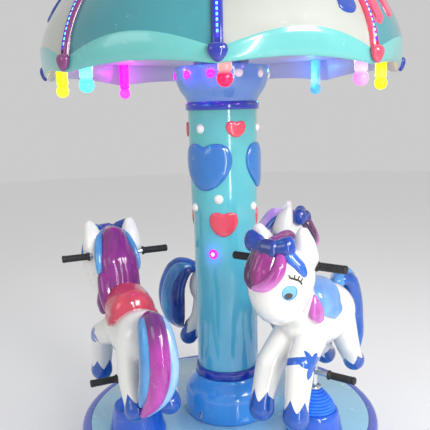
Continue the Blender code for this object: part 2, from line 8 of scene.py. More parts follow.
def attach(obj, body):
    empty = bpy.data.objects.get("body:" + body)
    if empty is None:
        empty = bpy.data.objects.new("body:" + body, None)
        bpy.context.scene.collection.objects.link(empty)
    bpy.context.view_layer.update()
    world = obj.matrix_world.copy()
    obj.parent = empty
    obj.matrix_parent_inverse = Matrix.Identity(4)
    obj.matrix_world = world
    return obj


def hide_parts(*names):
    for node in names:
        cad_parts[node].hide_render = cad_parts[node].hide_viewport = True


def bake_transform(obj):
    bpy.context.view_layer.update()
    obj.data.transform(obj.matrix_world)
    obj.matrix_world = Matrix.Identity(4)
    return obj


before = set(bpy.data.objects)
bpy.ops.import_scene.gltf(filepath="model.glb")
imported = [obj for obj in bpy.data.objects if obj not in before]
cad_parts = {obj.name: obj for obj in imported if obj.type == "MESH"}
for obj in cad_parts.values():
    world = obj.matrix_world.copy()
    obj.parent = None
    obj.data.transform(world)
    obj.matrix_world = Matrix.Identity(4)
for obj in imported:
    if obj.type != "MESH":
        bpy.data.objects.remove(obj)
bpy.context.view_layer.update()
print("frame loaded")


def toLinear(code):
    channels = [int(code[i:i + 2], 16) / 255 for i in (0, 2, 4)]
    return [c / 12.92 if c <= 0.04045 else ((c + 0.055) / 1.055) ** 2.4 for c in channels] + [1]


def setSockets(node, values=None, links=None):
    for socket, value in (values or {}).items():
        node.inputs[socket].default_value = value
    for socket, source in (links or {}).items():
        node.id_data.links.new(source, node.inputs[socket])


def addNode(tree, kind, settings=None, values=None, links=None):
    node = tree.nodes.new(kind)
    for key, value in (settings or {}).items():
        setattr(node, key, value)
    setSockets(node, values, links)
    return node


# A math node on any mix of numbers and sockets
def operate(tree, kind, operation, values, output):
    node = addNode(tree, kind, {"operation": operation})
    for index, value in enumerate(values):
        if isinstance(value, bpy.types.NodeSocket):
            tree.links.new(value, node.inputs[index])
        else:
            node.inputs[index].default_value = value
    return node.outputs[output]


def calc(tree, operation, *values):
    return operate(tree, "ShaderNodeMath", operation, values, 0)


def vectorCalc(tree, operation, *values):
    output = "Value" if operation in ("LENGTH", "DOT_PRODUCT") else "Vector"
    return operate(tree, "ShaderNodeVectorMath", operation, values, output)


def objectPlace(tree):
    return addNode(tree, "ShaderNodeTexCoord").outputs["Object"]


def axisParts(tree, place):
    return addNode(tree, "ShaderNodeSeparateXYZ", None, None, {0: place}).outputs


def noise(tree, place, scale, detail=1.0, roughness=0.5):
    values = {"Scale": scale, "Detail": detail, "Roughness": roughness}
    return addNode(tree, "ShaderNodeTexNoise", None, values, {"Vector": place}).outputs["Fac"]


def mapRange(tree, value, fromMin=0.0, fromMax=1.0, toMin=0.0, toMax=1.0):
    values = {"From Min": fromMin, "From Max": fromMax, "To Min": toMin, "To Max": toMax}
    return addNode(tree, "ShaderNodeMapRange", None, values, {"Value": value}).outputs[0]


# A colour ramp through (position, hex or linear colour) stops, lowest first
def ramp(tree, value, stops):
    node = addNode(tree, "ShaderNodeValToRGB", None, None, {"Fac": value})
    elements = node.color_ramp.elements
    elements[0].position, elements[1].position = stops[0][0], stops[-1][0]
    for position, colour in stops[1:-1]:
        elements.new(position)
    for element, (position, colour) in zip(elements, stops):
        element.color = toLinear(colour) if isinstance(colour, str) else colour
    return node.outputs[0]


# Lays a colour over another where the mask is 1
def layer(tree, below, mask, colour):
    over = toLinear(colour) if isinstance(colour, str) else colour
    return addNode(tree, "ShaderNodeMix", {"data_type": "RGBA"}, {7: over},
                   {0: mask, 6: below}).outputs[2]


def bump(tree, height, distance, strength=1.0, normal=None):
    links = {"Height": height} if normal is None else {"Height": height, "Normal": normal}
    return addNode(tree, "ShaderNodeBump", None, {"Strength": strength, "Distance": distance},
                   links).outputs[0]


def newMaterial(name):
    made = bpy.data.materials.new(name)
    made.use_nodes = True
    return made, made.node_tree, made.node_tree.nodes["Principled BSDF"]


def plainColour(tree, code):
    node = addNode(tree, "ShaderNodeRGB")
    node.outputs[0].default_value = toLinear(code)
    return node.outputs[0]


# Gelcoat is a sprayed polyester skin: deep gloss, faint orange peel, slow waves from the hand-laid
# glass under it, and a colour that isn't quite even. Scuffs are small chalky patches where hands,
# shoes and cloths have rubbed the skin.
gelcoatLook = {
    "roughness": 0.16, "roughnessSpread": 0.1, "coat": 0.7, "coatRoughness": 0.04, "ior": 1.52,
    "peelMm": 7.0, "peelDepthMm": 0.05, "waveMm": 90.0, "waveDepthMm": 0.9, "mottleMm": 120.0,
    "mottle": 0.07, "scuffMm": 45.0, "scuff": 0.1, "scuffRange": (0.6, 0.72), "scuffDull": 1.5,
    "chalk": (0.82, 0.84, 0.86, 1), "cloudRange": (0.3, 0.7),
}


def gelcoat(name, colour, **changes):
    look = {**gelcoatLook, **changes}
    made, tree, shader = newMaterial(name)
    place = objectPlace(tree)
    cloud = noise(tree, place, 1000 / look["mottleMm"], 3.0)
    paint = plainColour(tree, colour) if isinstance(colour, str) else colour(tree)
    darker = mapRange(tree, cloud, *look["cloudRange"], 1 - look["mottle"], 1.0)
    shaded = addNode(tree, "ShaderNodeMix", {"data_type": "RGBA", "blend_type": "MULTIPLY"},
                     {0: 1.0}, {6: paint, 7: darker}).outputs[2]
    rubbed = noise(tree, place, 1000 / look["scuffMm"], 8.0, 0.7)
    scuff = mapRange(tree, rubbed, *look["scuffRange"], 0.0, look["scuff"])
    gloss = mapRange(tree, cloud, *look["cloudRange"], look["roughness"],
                     look["roughness"] + look["roughnessSpread"])
    waves = bump(tree, noise(tree, place, 1000 / look["waveMm"]), look["waveDepthMm"] / 1000)
    peel = noise(tree, place, 1000 / look["peelMm"])
    setSockets(shader, {"IOR": look["ior"], "Coat Weight": look["coat"],
                        "Coat Roughness": look["coatRoughness"]},
               {"Base Color": layer(tree, shaded, scuff, look["chalk"]),
                "Roughness": calc(tree, "MULTIPLY_ADD", scuff, look["scuffDull"], gloss),
                "Normal": bump(tree, peel, look["peelDepthMm"] / 1000, normal=waves)})
    return made


plasticLook = {"roughness": 0.22, "grain": 60.0, "cloudRange": (0.3, 0.7), "dimmest": 0.75}


# Lit polycarbonate: a clear coloured shell round a lamp, palest where the light inside is strongest
def litPlastic(name, colour, strength, stops=None):
    made, tree, shader = newMaterial(name)
    place = objectPlace(tree)
    level = mapRange(tree, noise(tree, place, plasticLook["grain"]), *plasticLook["cloudRange"],
                     strength * plasticLook["dimmest"], strength)
    setSockets(shader, {"Base Color": toLinear(colour), "Emission Color": toLinear(colour),
                        "Roughness": plasticLook["roughness"]}, {"Emission Strength": level})
    if stops:
        low, high = stops[0][0], stops[-1][0]
        share = mapRange(tree, axisParts(tree, place)["Z"], low, high)
        glow = ramp(tree, share, [((z - low) / (high - low), code) for z, code in stops])
        setSockets(shader, None, {"Emission Color": glow})
    return made


steelLook = {"colour": "D2D4D8", "marks": 220.0, "roughness": (0.1, 0.28)}


# Bright chromed steel tube, with fine polishing marks
def chromedSteel(name):
    made, tree, shader = newMaterial(name)
    marks = noise(tree, objectPlace(tree), steelLook["marks"], 2.0)
    setSockets(shader, {"Base Color": toLinear(steelLook["colour"]), "Metallic": 1.0},
               {"Roughness": mapRange(tree, marks, 0.0, 1.0, *steelLook["roughness"])})
    return made


rubberLook = {"dust": 35.0, "dustRange": (0.35, 0.75), "paler": 1.35, "greyer": 0.004,
              "pebble": 700.0, "pebbleDepth": 0.0002, "pebbleStrength": 0.5}


# Moulded rubber: dull, a little dusty, with a fine pebble
def mouldedRubber(name, colour, roughness=0.55):
    made, tree, shader = newMaterial(name)
    place = objectPlace(tree)
    dusty = [c * rubberLook["paler"] + rubberLook["greyer"] for c in toLinear(colour)[:3]] + [1]
    dust = ramp(tree, noise(tree, place, rubberLook["dust"], 4.0),
                list(zip(rubberLook["dustRange"], (colour, dusty))))
    pebble = bump(tree, noise(tree, place, rubberLook["pebble"], 2.0), rubberLook["pebbleDepth"],
                  rubberLook["pebbleStrength"])
    setSockets(shader, {"Roughness": roughness}, {"Base Color": dust, "Normal": pebble})
    return made


fadeLook = {"from": 0.45, "to": 1.62, "stops": [(0.0, "54B4DE"), (0.5, "5AC0D1"), (1.0, "5EB8B3")]}


# Teal at the top of the column running down into sky blue
def columnFade(tree):
    height = axisParts(tree, objectPlace(tree))["Z"]
    return ramp(tree, mapRange(tree, height, fadeLook["from"], fadeLook["to"]), fadeLook["stops"])


skyDeck = gelcoat("skyBlueGelcoat", "92CBE6", scuff=0.35, scuffMm=70.0)
periwinkle = gelcoat("periwinkleGelcoat", "4E62C8", scuff=0.28)
footBlue = gelcoat("footBlueGelcoat", "3C98F0")
drumBlue = gelcoat("drumBlueGelcoat", "3F7FD6", scuff=0.25)
bandBlue = gelcoat("bandBluePaint", "1C36AE")
columnPaint = gelcoat("columnFadeGelcoat", columnFade, roughness=0.1)
capitalBlue = gelcoat("capitalBlueGelcoat", "5F8FD4")
coral = gelcoat("coralPaint", "E24A60")
heartBlue = gelcoat("heartBluePaint", "2F76BE")
pearl = gelcoat("pearlCap", "F2EFEA", roughness=0.1)
panelTeal = gelcoat("panelTealGelcoat", "3B8E98")
panelWhite = gelcoat("panelWhiteGelcoat", "B8BBB4")
valanceMint = gelcoat("valanceMintGelcoat", "68BBB8")
ceilingLavender = gelcoat("ceilingLavenderGelcoat", "BDB4DE", roughness=0.4, coat=0.1)
ribNavy = gelcoat("ribNavyPaint", "22329E")
# Painted shade: the coral rib paint darkened to plum, as coral ribs look on the shaded side
ribCoralShade = gelcoat("ribCoralShadePaint", "7C3470")
ribCoral = gelcoat("ribCoralPaint", "DA4662")
icingBlue = gelcoat("icingBluePaint", "2246A4")
icingCoral = gelcoat("icingCoralPaint", "E4486E")
steel = chromedSteel("chromedSteelTube")
gripRubber = mouldedRubber("blackGripRubber", "1A191B")
bootRubber = mouldedRubber("blueBootRubber", "2A72EA", 0.35)
ledBlue = litPlastic("ledStripResin", "3A2BE8", 1.6)
ledChip = litPlastic("ledChip", "58C8FF", 3.5)
ledMagenta = litPlastic("magentaLed", "C81CF0", 1.5)
ledWhite = litPlastic("whiteLed", "FFF0FF", 3.0)
print("materials made")


def deselectAll():
    bpy.ops.object.select_all(action="DESELECT")


def takeUp(*items):  # the first one becomes the active object
    deselectAll()
    for item in items:
        item.select_set(True)
    bpy.context.view_layer.objects.active = items[0]


def settle(item):  # applies its place, turn and size to its mesh
    takeUp(item)
    bpy.ops.object.transform_apply(location=True, rotation=True, scale=True)


def applySteps(item):
    takeUp(item)
    for step in list(item.modifiers):
        bpy.ops.object.modifier_apply(modifier=step.name)


def onWholeMesh(item, step):
    takeUp(item)
    bpy.ops.object.mode_set(mode="EDIT")
    bpy.ops.mesh.select_all(action="SELECT")
    step()
    bpy.ops.object.mode_set(mode="OBJECT")


def finishPiece(item, name, material, nodes=(), slot=None, angle=40, body="turntable"):
    settle(item)
    bpy.ops.object.shade_smooth_by_angle(angle=math.radians(angle))
    item.name = item.data.name = name
    if material is not None:
        item.data.materials.clear()
        item.data.materials.append(material)
    if body:
        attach(item, body)
    if nodes:
        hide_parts(*nodes)


def joinAll(items):
    takeUp(*items)
    if len(items) > 1:
        bpy.ops.object.join()
    return items[0]


# Most things on the column come three times, a third of a turn apart
thirds = (0, 120, 240)


# A copy with a mesh of its own, turned about the column
def turnedCopy(item, degrees):
    takeUp(item)
    bpy.ops.object.duplicate(linked=False)
    copy = bpy.context.object
    copy.rotation_euler.z += math.radians(degrees)
    settle(copy)
    return copy


def around(azimuth, radius, height):
    angle = math.radians(azimuth)
    return Vector((radius * math.sin(angle), -radius * math.cos(angle), height))


# Where a piece stands that faces outwards at an azimuth
def standing(azimuth, radius, height):
    turn = Matrix.Rotation(math.radians(azimuth), 4, "Z")
    return Matrix.Translation(around(azimuth, radius, height)) @ turn


weldDistance = 0.00002


# Draws a profile of (radius, height) points by extruding one point, then spins it round the column
def spinProfile(points, steps=96, centre=(0, 0)):
    deselectAll()
    bpy.ops.mesh.primitive_plane_add(size=0.001, location=(0, 0, 0))
    item = bpy.context.object
    bpy.ops.object.mode_set(mode="EDIT")
    bpy.ops.mesh.merge(type="CENTER")
    bpy.ops.transform.translate(value=(points[0][0], 0, points[0][1]))
    for start, end in zip(points, points[1:]):
        step = (end[0] - start[0], 0, end[1] - start[1])
        bpy.ops.mesh.extrude_vertices_move(TRANSFORM_OT_translate={"value": step})
    bpy.ops.mesh.select_all(action="SELECT")
    bpy.ops.mesh.spin(steps=steps, angle=math.tau, center=(0, 0, 0), axis=(0, 0, 1))
    bpy.ops.mesh.select_all(action="SELECT")
    bpy.ops.mesh.remove_doubles(threshold=weldDistance)
    bpy.ops.mesh.normals_make_consistent(inside=False)
    bpy.ops.object.mode_set(mode="OBJECT")
    item.location = (*centre, 0)
    settle(item)
    return item


def spunPiece(name, points, steps, material, node, slot, body="turntable"):
    finishPiece(spinProfile(points, steps), name, material, [node] if node else [], slot, body=body)


def bevelEdges(item, width, segments=3, angle=30):
    step = item.modifiers.new("Round", "BEVEL")
    step.width = width
    step.segments = segments
    step.limit_method = "ANGLE"
    step.angle_limit = math.radians(angle)
    applySteps(item)


# Camera: fitted to the photograph's ellipses and verticals
cameraPlace = {"spot": (-0.043, -2.688, 1.601), "down": 9.37, "roll": -1.5, "focalPixels": 616.1,
               "imagePixels": 430}
lens = bpy.data.cameras.new("photoLens")
lens.sensor_width = 36
lens.lens = cameraPlace["focalPixels"] / cameraPlace["imagePixels"] * lens.sensor_width
camera = bpy.data.objects.new("photoCamera", lens)
bpy.context.scene.collection.objects.link(camera)
tilt = Matrix.Rotation(math.radians(90 - cameraPlace["down"]), 4, "X")
roll = Matrix.Rotation(math.radians(cameraPlace["roll"]), 4, "Z")
camera.matrix_world = Matrix.Translation(cameraPlace["spot"]) @ tilt @ roll
bpy.context.scene.camera = camera
print("camera placed")


# Platform and base
platform = {
    "steps": 128,
    "deck": [(0, 0.1753), (0.6309, 0.1753), (0.6309, 0.249), (0.629, 0.25), (0, 0.25)],
    "rim": [(0.6318, 0.172), (0.664, 0.17), (0.6695, 0.173), (0.672, 0.18), (0.672, 0.226),
            (0.67, 0.2375), (0.6635, 0.246), (0.653, 0.2502), (0.64, 0.2508),
            (0.6335, 0.2495), (0.6318, 0.247), (0.6318, 0.172)],
    "drum": [(0, 0.0), (0.596, 0.0), (0.6, 0.004), (0.6, 0.018), (0.596, 0.024),
             (0.583, 0.032), (0.58, 0.04), (0.58, 0.128), (0.584, 0.14), (0.591, 0.15),
             (0.592, 0.157), (0.586, 0.163), (0.22, 0.163), (0.22, 0.1745), (0, 0.1745)],
}
spunPiece("platformDeck", platform["deck"], platform["steps"], skyDeck, "platform_deck",
          "deck_gelcoat")
spunPiece("platformRim", platform["rim"], platform["steps"], periwinkle, "platform_rim",
          "rim_paint")
spunPiece("baseDrum", platform["drum"], platform["steps"], drumBlue, "base_drum",
          "base_gelcoat", "base")
print("platform and base made")


# Column: it tapers a little towards the foot
column = {
    "outline": [(0.439, 0.137), (1.165, 0.137), (1.205, 0.144), (1.4, 0.146), (1.615, 0.149)],
    "bottom": 0.4793, "top": 1.615, "stations": 40, "steps": 96, "lip": 0.009,
    "lipEdge": (0.003, 0.004),
    "bands": {"lower": (0.4393, 0.479), "upper": (1.6153, 1.647)},
    "foot": [(0, 0.2503), (0.184, 0.2503), (0.19, 0.254), (0.1955, 0.268), (0.1985, 0.296),
             (0.1992, 0.33), (0.1975, 0.358), (0.1925, 0.38), (0.183, 0.398), (0.169, 0.412),
             (0.157, 0.424), (0.15, 0.434), (0.1485, 0.4388), (0, 0.4388)],
}


def columnRadius(height):
    for (low, inner), (high, outer) in zip(column["outline"], column["outline"][1:]):
        if height <= high:
            return inner + (outer - inner) * max(0, height - low) / (high - low)
    return column["outline"][-1][1]


spunPiece("columnFoot", column["foot"], column["steps"], footBlue, "column_foot", "foot_gelcoat")
# The foot's small steel hasp with its screw, one on each third of the foot
haspLook = {"azimuth": -39.8, "height": 0.29, "reach": 0.1988, "lean": -4, "round": 0.0009,
            "wide": 0.014, "tall": 0.03, "thick": 0.0025, "screwDrop": 0.006,
            "screw": [(0, 0), (0.0042, 0), (0.0042, 0.0012), (0.0034, 0.0026), (0.0012, 0.003),
                      (0, 0.0022)]}


def footHasp(turn):
    deselectAll()
    bpy.ops.mesh.primitive_cube_add(size=1, location=(0, 0, 0))
    plate = bpy.context.object
    plate.scale = (haspLook["wide"], haspLook["thick"], haspLook["tall"])
    settle(plate)
    bevelEdges(plate, haspLook["round"], 2)
    screw = spinProfile(haspLook["screw"], 20)
    screw.rotation_euler.x = math.pi / 2
    screw.location = (0, -haspLook["thick"] / 2, -haspLook["screwDrop"])
    settle(screw)
    hasp = joinAll([plate, screw])
    stand = standing(haspLook["azimuth"] + turn, haspLook["reach"], haspLook["height"])
    hasp.matrix_world = stand @ Matrix.Rotation(math.radians(haspLook["lean"]), 4, "X")
    settle(hasp)
    return hasp


finishPiece(joinAll([footHasp(turn) for turn in thirds]), "footHasps", steel, slot="rod_steel")
for side, (low, high) in column["bands"].items():
    lip, (tuck, rise) = columnRadius(low) + column["lip"], column["lipEdge"]
    bandProfile = [(0, low), (lip - tuck, low), (lip, low + rise), (lip, high - rise),
                   (lip - tuck, high), (0, high)]
    spunPiece(side + "Band", bandProfile, column["steps"], bandBlue, "column_band_" + side,
              "band_paint")
shaftProfile = [(0, column["bottom"]), (columnRadius(column["bottom"]), column["bottom"])]
for station in range(1, column["stations"] + 1):
    height = column["bottom"] + (column["top"] - column["bottom"]) * station / column["stations"]
    shaftProfile.append((columnRadius(height), height))
shaftProfile.append((0, column["top"]))
spunPiece("columnShaft", shaftProfile, column["steps"], columnPaint, "column_shaft",
          "column_gelcoat")


# Points evenly spread on a smooth line through control points
def smoothLine(controls, count, closed=False):
    points = [Vector(c) for c in controls]
    spans = len(points) if closed else len(points) - 1
    line = []
    for step in range(count):
        at = spans * step / (count if closed else count - 1)
        span = min(int(at), spans - 1)
        t = at - span
        if closed:
            p0, p1, p2, p3 = (points[(span + k) % len(points)] for k in (-1, 0, 1, 2))
        else:
            p0, p1, p2, p3 = (points[max(0, min(len(points) - 1, span + k))] for k in (-1, 0, 1, 2))
        line.append(0.5 * (2 * p1 + (p2 - p0) * t + (2 * p0 - 5 * p1 + 4 * p2 - p3) * t ** 2
                           + (3 * p1 - p0 - 3 * p2 + p3) * t ** 3))
    return line


# Half the outline, in shares of half the width and of the height, and (scale, share of the bulge)
# for the rings that draw the cushion up
heartShape = {
    "half": [(0.0, 0.43), (0.26, 0.485), (0.56, 0.495), (0.85, 0.42), (1.0, 0.2), (0.955, -0.02),
             (0.77, -0.23), (0.48, -0.41), (0.22, -0.49), (0.0, -0.51)],
    "rings": ((0.985, 0.3), (0.95, 0.5), (0.89, 0.68), (0.79, 0.83), (0.64, 0.93), (0.44, 0.985),
              (0.2, 1.0)),
    "points": 72, "sunk": 0.006, "side": 0.008,
}


# A plump cushion heart: a disc pulled into the outline, drawn up in shrinking rings, and wrapped
# on the column
def cushionHeart(look):
    half = heartShape["half"]
    controls = half + [(-x, y) for x, y in reversed(half[1:-1])]
    outline = smoothLine(controls, heartShape["points"], closed=True)
    deselectAll()
    bpy.ops.mesh.primitive_circle_add(vertices=heartShape["points"], radius=1, fill_type="NGON",
                                      location=(0, 0, 0))
    item = bpy.context.object
    for vertex, (across, up) in zip(item.data.vertices, outline):
        vertex.co = (-across * look["wide"] / 2, up * look["tall"], -heartShape["sunk"])
    bpy.ops.object.mode_set(mode="EDIT")
    bpy.ops.mesh.select_all(action="SELECT")
    bpy.ops.mesh.extrude_region_move(TRANSFORM_OT_translate={"value": (0, 0, heartShape["side"])})
    scale, height = 1.0, 0.0
    for nextScale, nextHeight in heartShape["rings"]:
        rise = (nextHeight - height) * look["bulge"]
        bpy.ops.mesh.extrude_region_move(TRANSFORM_OT_translate={"value": (0, 0, rise)})
        bpy.ops.transform.resize(value=(nextScale / scale, nextScale / scale, 1),
                                 center_override=(0, 0, 0))
        scale, height = nextScale, nextHeight
    bpy.ops.mesh.poke()
    bpy.ops.mesh.select_all(action="SELECT")
    bpy.ops.mesh.normals_make_consistent(inside=False)
    bpy.ops.object.mode_set(mode="OBJECT")
    for vertex in item.data.vertices:
        x, y, z = vertex.co
        ground = columnRadius(look["height"] + y)
        azimuth = look["azimuth"] + math.degrees(x / columnRadius(look["height"]))
        vertex.co = around(azimuth, ground + z, look["height"] + y)
    return item


heartLooks = {
    "blueHeart": {"azimuth": -34, "height": 1.38, "wide": 0.241, "tall": 0.195, "bulge": 0.016,
                  "material": heartBlue},
    "lowCoralHeart": {"azimuth": -3, "height": 1.138, "wide": 0.123, "tall": 0.103, "bulge": 0.011,
                      "material": coral},
    "highCoralHeart": {"azimuth": 21, "height": 1.535, "wide": 0.088, "tall": 0.066, "bulge": 0.008,
                       "material": coral},
}
for name, look in heartLooks.items():
    first = cushionHeart(look)
    hearts = joinAll([first] + [turnedCopy(first, turn) for turn in thirds[1:]])
    finishPiece(hearts, name + "s", look["material"], slot="column_gelcoat", angle=50)
print("column and hearts made")


# Round caps: a raised ring, in (share of the radius, height) points, with a domed cap in it
capRing = [(1.18, -0.004), (1.18, 0.0012), (1.12, 0.0026), (1.03, 0.002), (1, 0.0012)]
capSteps = {"dome": 6, "spin": 24}


def domedCap(azimuth, height, radius, standOn, dome=0.6):
    profile = [(radius * share, out) for share, out in capRing]
    for turn in range(1, capSteps["dome"] + 1):
        a = math.pi / 2 * turn / capSteps["dome"]
        profile.append((radius * math.cos(a), capRing[-1][1] + radius * dome * math.sin(a)))
    item = spinProfile(profile, capSteps["spin"])
    item.matrix_world = standing(azimuth, standOn, height) @ Matrix.Rotation(math.pi / 2, 4, "X")
    settle(item)
    return item


pearlLook = {"spots": ((-40, 1.539), (-10.3, 1.246), (58.6, 1.205)), "radius": 0.0165}
pearls = [domedCap(azimuth + turn, height, pearlLook["radius"], columnRadius(height))
          for azimuth, height in pearlLook["spots"] for turn in thirds]
finishPiece(joinAll(pearls), "columnPearls", pearl, slot="column_gelcoat")
ledLook = {"azimuth": -23.4, "height": 1.009, "cap": (0.0175, 0, 0.35),
           "core": (0.0085, 0.0035, 0.5)}
for part, name, material in (("cap", "columnLeds", ledMagenta),
                             ("core", "columnLedCores", ledWhite)):
    radius, out, dome = ledLook[part]
    caps = [domedCap(ledLook["azimuth"] + turn, ledLook["height"], radius,
                     columnRadius(ledLook["height"]) + out, dome) for turn in thirds]
    finishPiece(joinAll(caps), name, material, slot="lamp_magenta")

# Capital: a flared, fluted bell with a ring of round spots
capital = {
    "spots": 11, "firstSpot": -13.3, "spotHeight": 1.759, "spotRadius": 0.0155, "spotReach": 0.1985,
    "spotDome": 0.4, "fluteDepth": 0.018, "fluteFrom": 1.655, "fluteTo": 1.792, "steps": 176,
    "easeIn": 0.05, "easeOut": 0.02, "plainRadius": 0.14, "plainTop": 1.7936,
    "profile": [(0, 1.6473), (0.15, 1.6473), (0.151, 1.65), (0.1535, 1.657), (0.1575, 1.665),
                (0.163, 1.674), (0.171, 1.684), (0.179, 1.696), (0.186, 1.71), (0.192, 1.725),
                (0.196, 1.738), (0.199, 1.752), (0.201, 1.766), (0.2022, 1.778), (0.203, 1.788),
                (0.2015, 1.7935), (0.196, 1.794), (0.12, 1.794), (0.12, 1.8495), (0, 1.8495)],
}
bell = spinProfile(capital["profile"], capital["steps"])
for vertex in bell.data.vertices:
    x, y, z = vertex.co
    if math.hypot(x, y) < capital["plainRadius"] or z > capital["plainTop"]:
        continue
    azimuth = math.degrees(math.atan2(x, -y))
    lobe = math.cos(math.radians((azimuth - capital["firstSpot"]) * capital["spots"]))
    level = (max(0, min(1, (z - capital["fluteFrom"]) / capital["easeIn"]))
             * max(0, min(1, (capital["fluteTo"] - z) / capital["easeOut"])))
    grow = 1 - capital["fluteDepth"] * level * (0.5 - 0.5 * lobe)
    vertex.co.x *= grow
    vertex.co.y *= grow
finishPiece(bell, "columnCapital", capitalBlue, ["column_capital"], "capital_gelcoat")
spots = [domedCap(capital["firstSpot"] + 360 * index / capital["spots"], capital["spotHeight"],
                  capital["spotRadius"], capital["spotReach"], capital["spotDome"])
         for index in range(capital["spots"])]
finishPiece(joinAll(spots[1:-2]), "capitalPearls", pearl, slot="capital_gelcoat")
finishPiece(joinAll([spots[0]] + spots[-2:]), "capitalLeds", ledMagenta, slot="lamp_magenta")
print("capital made")


# Canopy
canopy = {
    "ribs": 8, "firstRib": -1.66, "stepsPerPanel": 16, "rimRadius": 0.745, "rimTuck": 0.018,
    "rimTip": 1.752, "rimScallop": 0.023, "wall": 0.014, "creaseLow": 1.8, "creaseRise": 0.065,
    "centre": 1.76, "height": 0.55, "puff": 0.012, "puffPower": 0.6, "ceiling": 1.85,
    "ceilingRadius": 0.712, "hubDrop": 0.2,
}


def panelSwell(azimuth):
    return abs(math.sin(math.radians((azimuth - canopy["firstRib"]) * canopy["ribs"] / 2)))


def domePoint(azimuth, lift):
    swell = panelSwell(azimuth)
    puff = canopy["puff"] * swell * max(0, math.sin(2 * lift)) ** canopy["puffPower"]
    radius = (canopy["rimRadius"] + puff) * math.cos(lift)
    return radius, canopy["centre"] + (canopy["height"] + puff) * math.sin(lift)


def creaseLift(azimuth):
    rise = canopy["creaseLow"] + canopy["creaseRise"] * panelSwell(azimuth) - canopy["centre"]
    return math.asin(rise / canopy["height"])


# Small steps of the shell's section, and how its faces are told apart for their paints
shellLook = {
    "wallDrop": 0.005, "ledgeRise": 0.022, "rimInRise": 0.006, "rimOutRise": 0.004, "bow": 0.004,
    "valanceDrop": 0.006, "creaseOut": 0.0015, "creaseDrop": 0.001, "firstLift": 0.012,
    "firstTuck": 0.0012, "spread": 1.05, "facesIn": -0.2, "wallReach": 0.03, "wallEdge": 0.002,
}
innerDome = [(0, 2.26), (0.38, 2.19), (0.6, 2.02)]
domeRows = 22
shellRows = ["ledgeTop", "wallTop", "rimIn", "rimLow", "rimOut", "valance1", "valance2", "valance3",
             "crease", "above1"] + [str(row) for row in range(1, domeRows + 1)]


def shellPoint(azimuth, row):
    swell = panelSwell(azimuth)
    rimRadius = canopy["rimRadius"] - canopy["rimTuck"] * swell
    rimHeight = canopy["rimTip"] + canopy["rimScallop"] * swell
    lift = creaseLift(azimuth)
    creaseRadius, creaseHeight = domePoint(azimuth, lift)
    if row == "wallTop":
        return canopy["ceilingRadius"], canopy["ceiling"] - shellLook["wallDrop"]
    if row == "ledgeTop":
        return canopy["ceilingRadius"], canopy["ceiling"] + shellLook["ledgeRise"]
    if row == "rimIn":
        return rimRadius - canopy["wall"], rimHeight + shellLook["rimInRise"]
    if row == "rimLow":
        return rimRadius - canopy["wall"] / 2, rimHeight
    if row == "rimOut":
        return rimRadius, rimHeight + shellLook["rimOutRise"]
    if row.startswith("valance"):
        share = int(row[-1]) / 4
        bow = shellLook["bow"] * math.sin(math.pi * share)
        tall = creaseHeight - rimHeight - shellLook["valanceDrop"]
        return (rimRadius + (creaseRadius - rimRadius) * share + bow,
                rimHeight + shellLook["rimOutRise"] + tall * share)
    if row == "crease":
        return creaseRadius + shellLook["creaseOut"], creaseHeight - shellLook["creaseDrop"]
    first = shellLook["firstLift"]
    if row == "above1":
        radius, height = domePoint(azimuth, lift + first)
        return radius - shellLook["firstTuck"], height
    share = (int(row) / domeRows) ** shellLook["spread"]
    return domePoint(azimuth, lift + first + (math.radians(90) - lift - first) * share)


outline = [shellPoint(canopy["firstRib"], row) for row in shellRows]
outline[-1] = (0, outline[-1][1])
shell = spinProfile(innerDome + outline, canopy["ribs"] * canopy["stepsPerPanel"])
rowOf = {(round(r, 4), round(z, 4)): name for (r, z), name in zip(outline, shellRows)}
for vertex in shell.data.vertices:
    x, y, z = vertex.co
    radius = math.hypot(x, y)
    row = rowOf.get((round(radius, 4), round(z, 4)))
    if row is None or radius < 0.001:
        continue
    azimuth = math.degrees(math.atan2(x, -y)) + canopy["firstRib"] + 90
    vertex.co = around(azimuth, *shellPoint(azimuth, row))
for paint in (panelTeal, panelWhite, valanceMint, ceilingLavender):
    shell.data.materials.append(paint)
for face in shell.data.polygons:
    centre = face.center
    azimuth = math.degrees(math.atan2(centre.x, -centre.y))
    panel = int((azimuth - canopy["firstRib"]) % 360 // 45)
    radius = math.hypot(centre.x, centre.y)
    dome = domePoint(azimuth, creaseLift(azimuth))
    inwards = face.normal.x * centre.x + face.normal.y * centre.y < shellLook["facesIn"] * radius
    onRim = radius > canopy["ceilingRadius"] - shellLook["wallEdge"]
    if inwards and centre.z < canopy["ceiling"] + shellLook["wallReach"]:
        face.material_index = 3
    elif centre.z < dome[1] and onRim or radius < 0.001:
        face.material_index = 2
    else:
        face.material_index = 1 if panel % 2 == 0 else 0
finishPiece(shell, "canopyShell", None, ["canopy_shell"], "canopy_gelcoat", angle=50)
lid = [
    (0, 1.8665), (0.708, 1.8665), (0.7115, 1.864), (0.7115, 1.8502), (0.7, 1.8502), (0.64, 1.8525),
    (0.3, 1.853), (0.145, 1.853), (0.1207, 1.8502), (0, 1.8502)]
spunPiece("canopyCeiling", lid, 96, ceilingLavender, "canopy_ceiling", "ceiling_gelcoat")
print("canopy shell made")

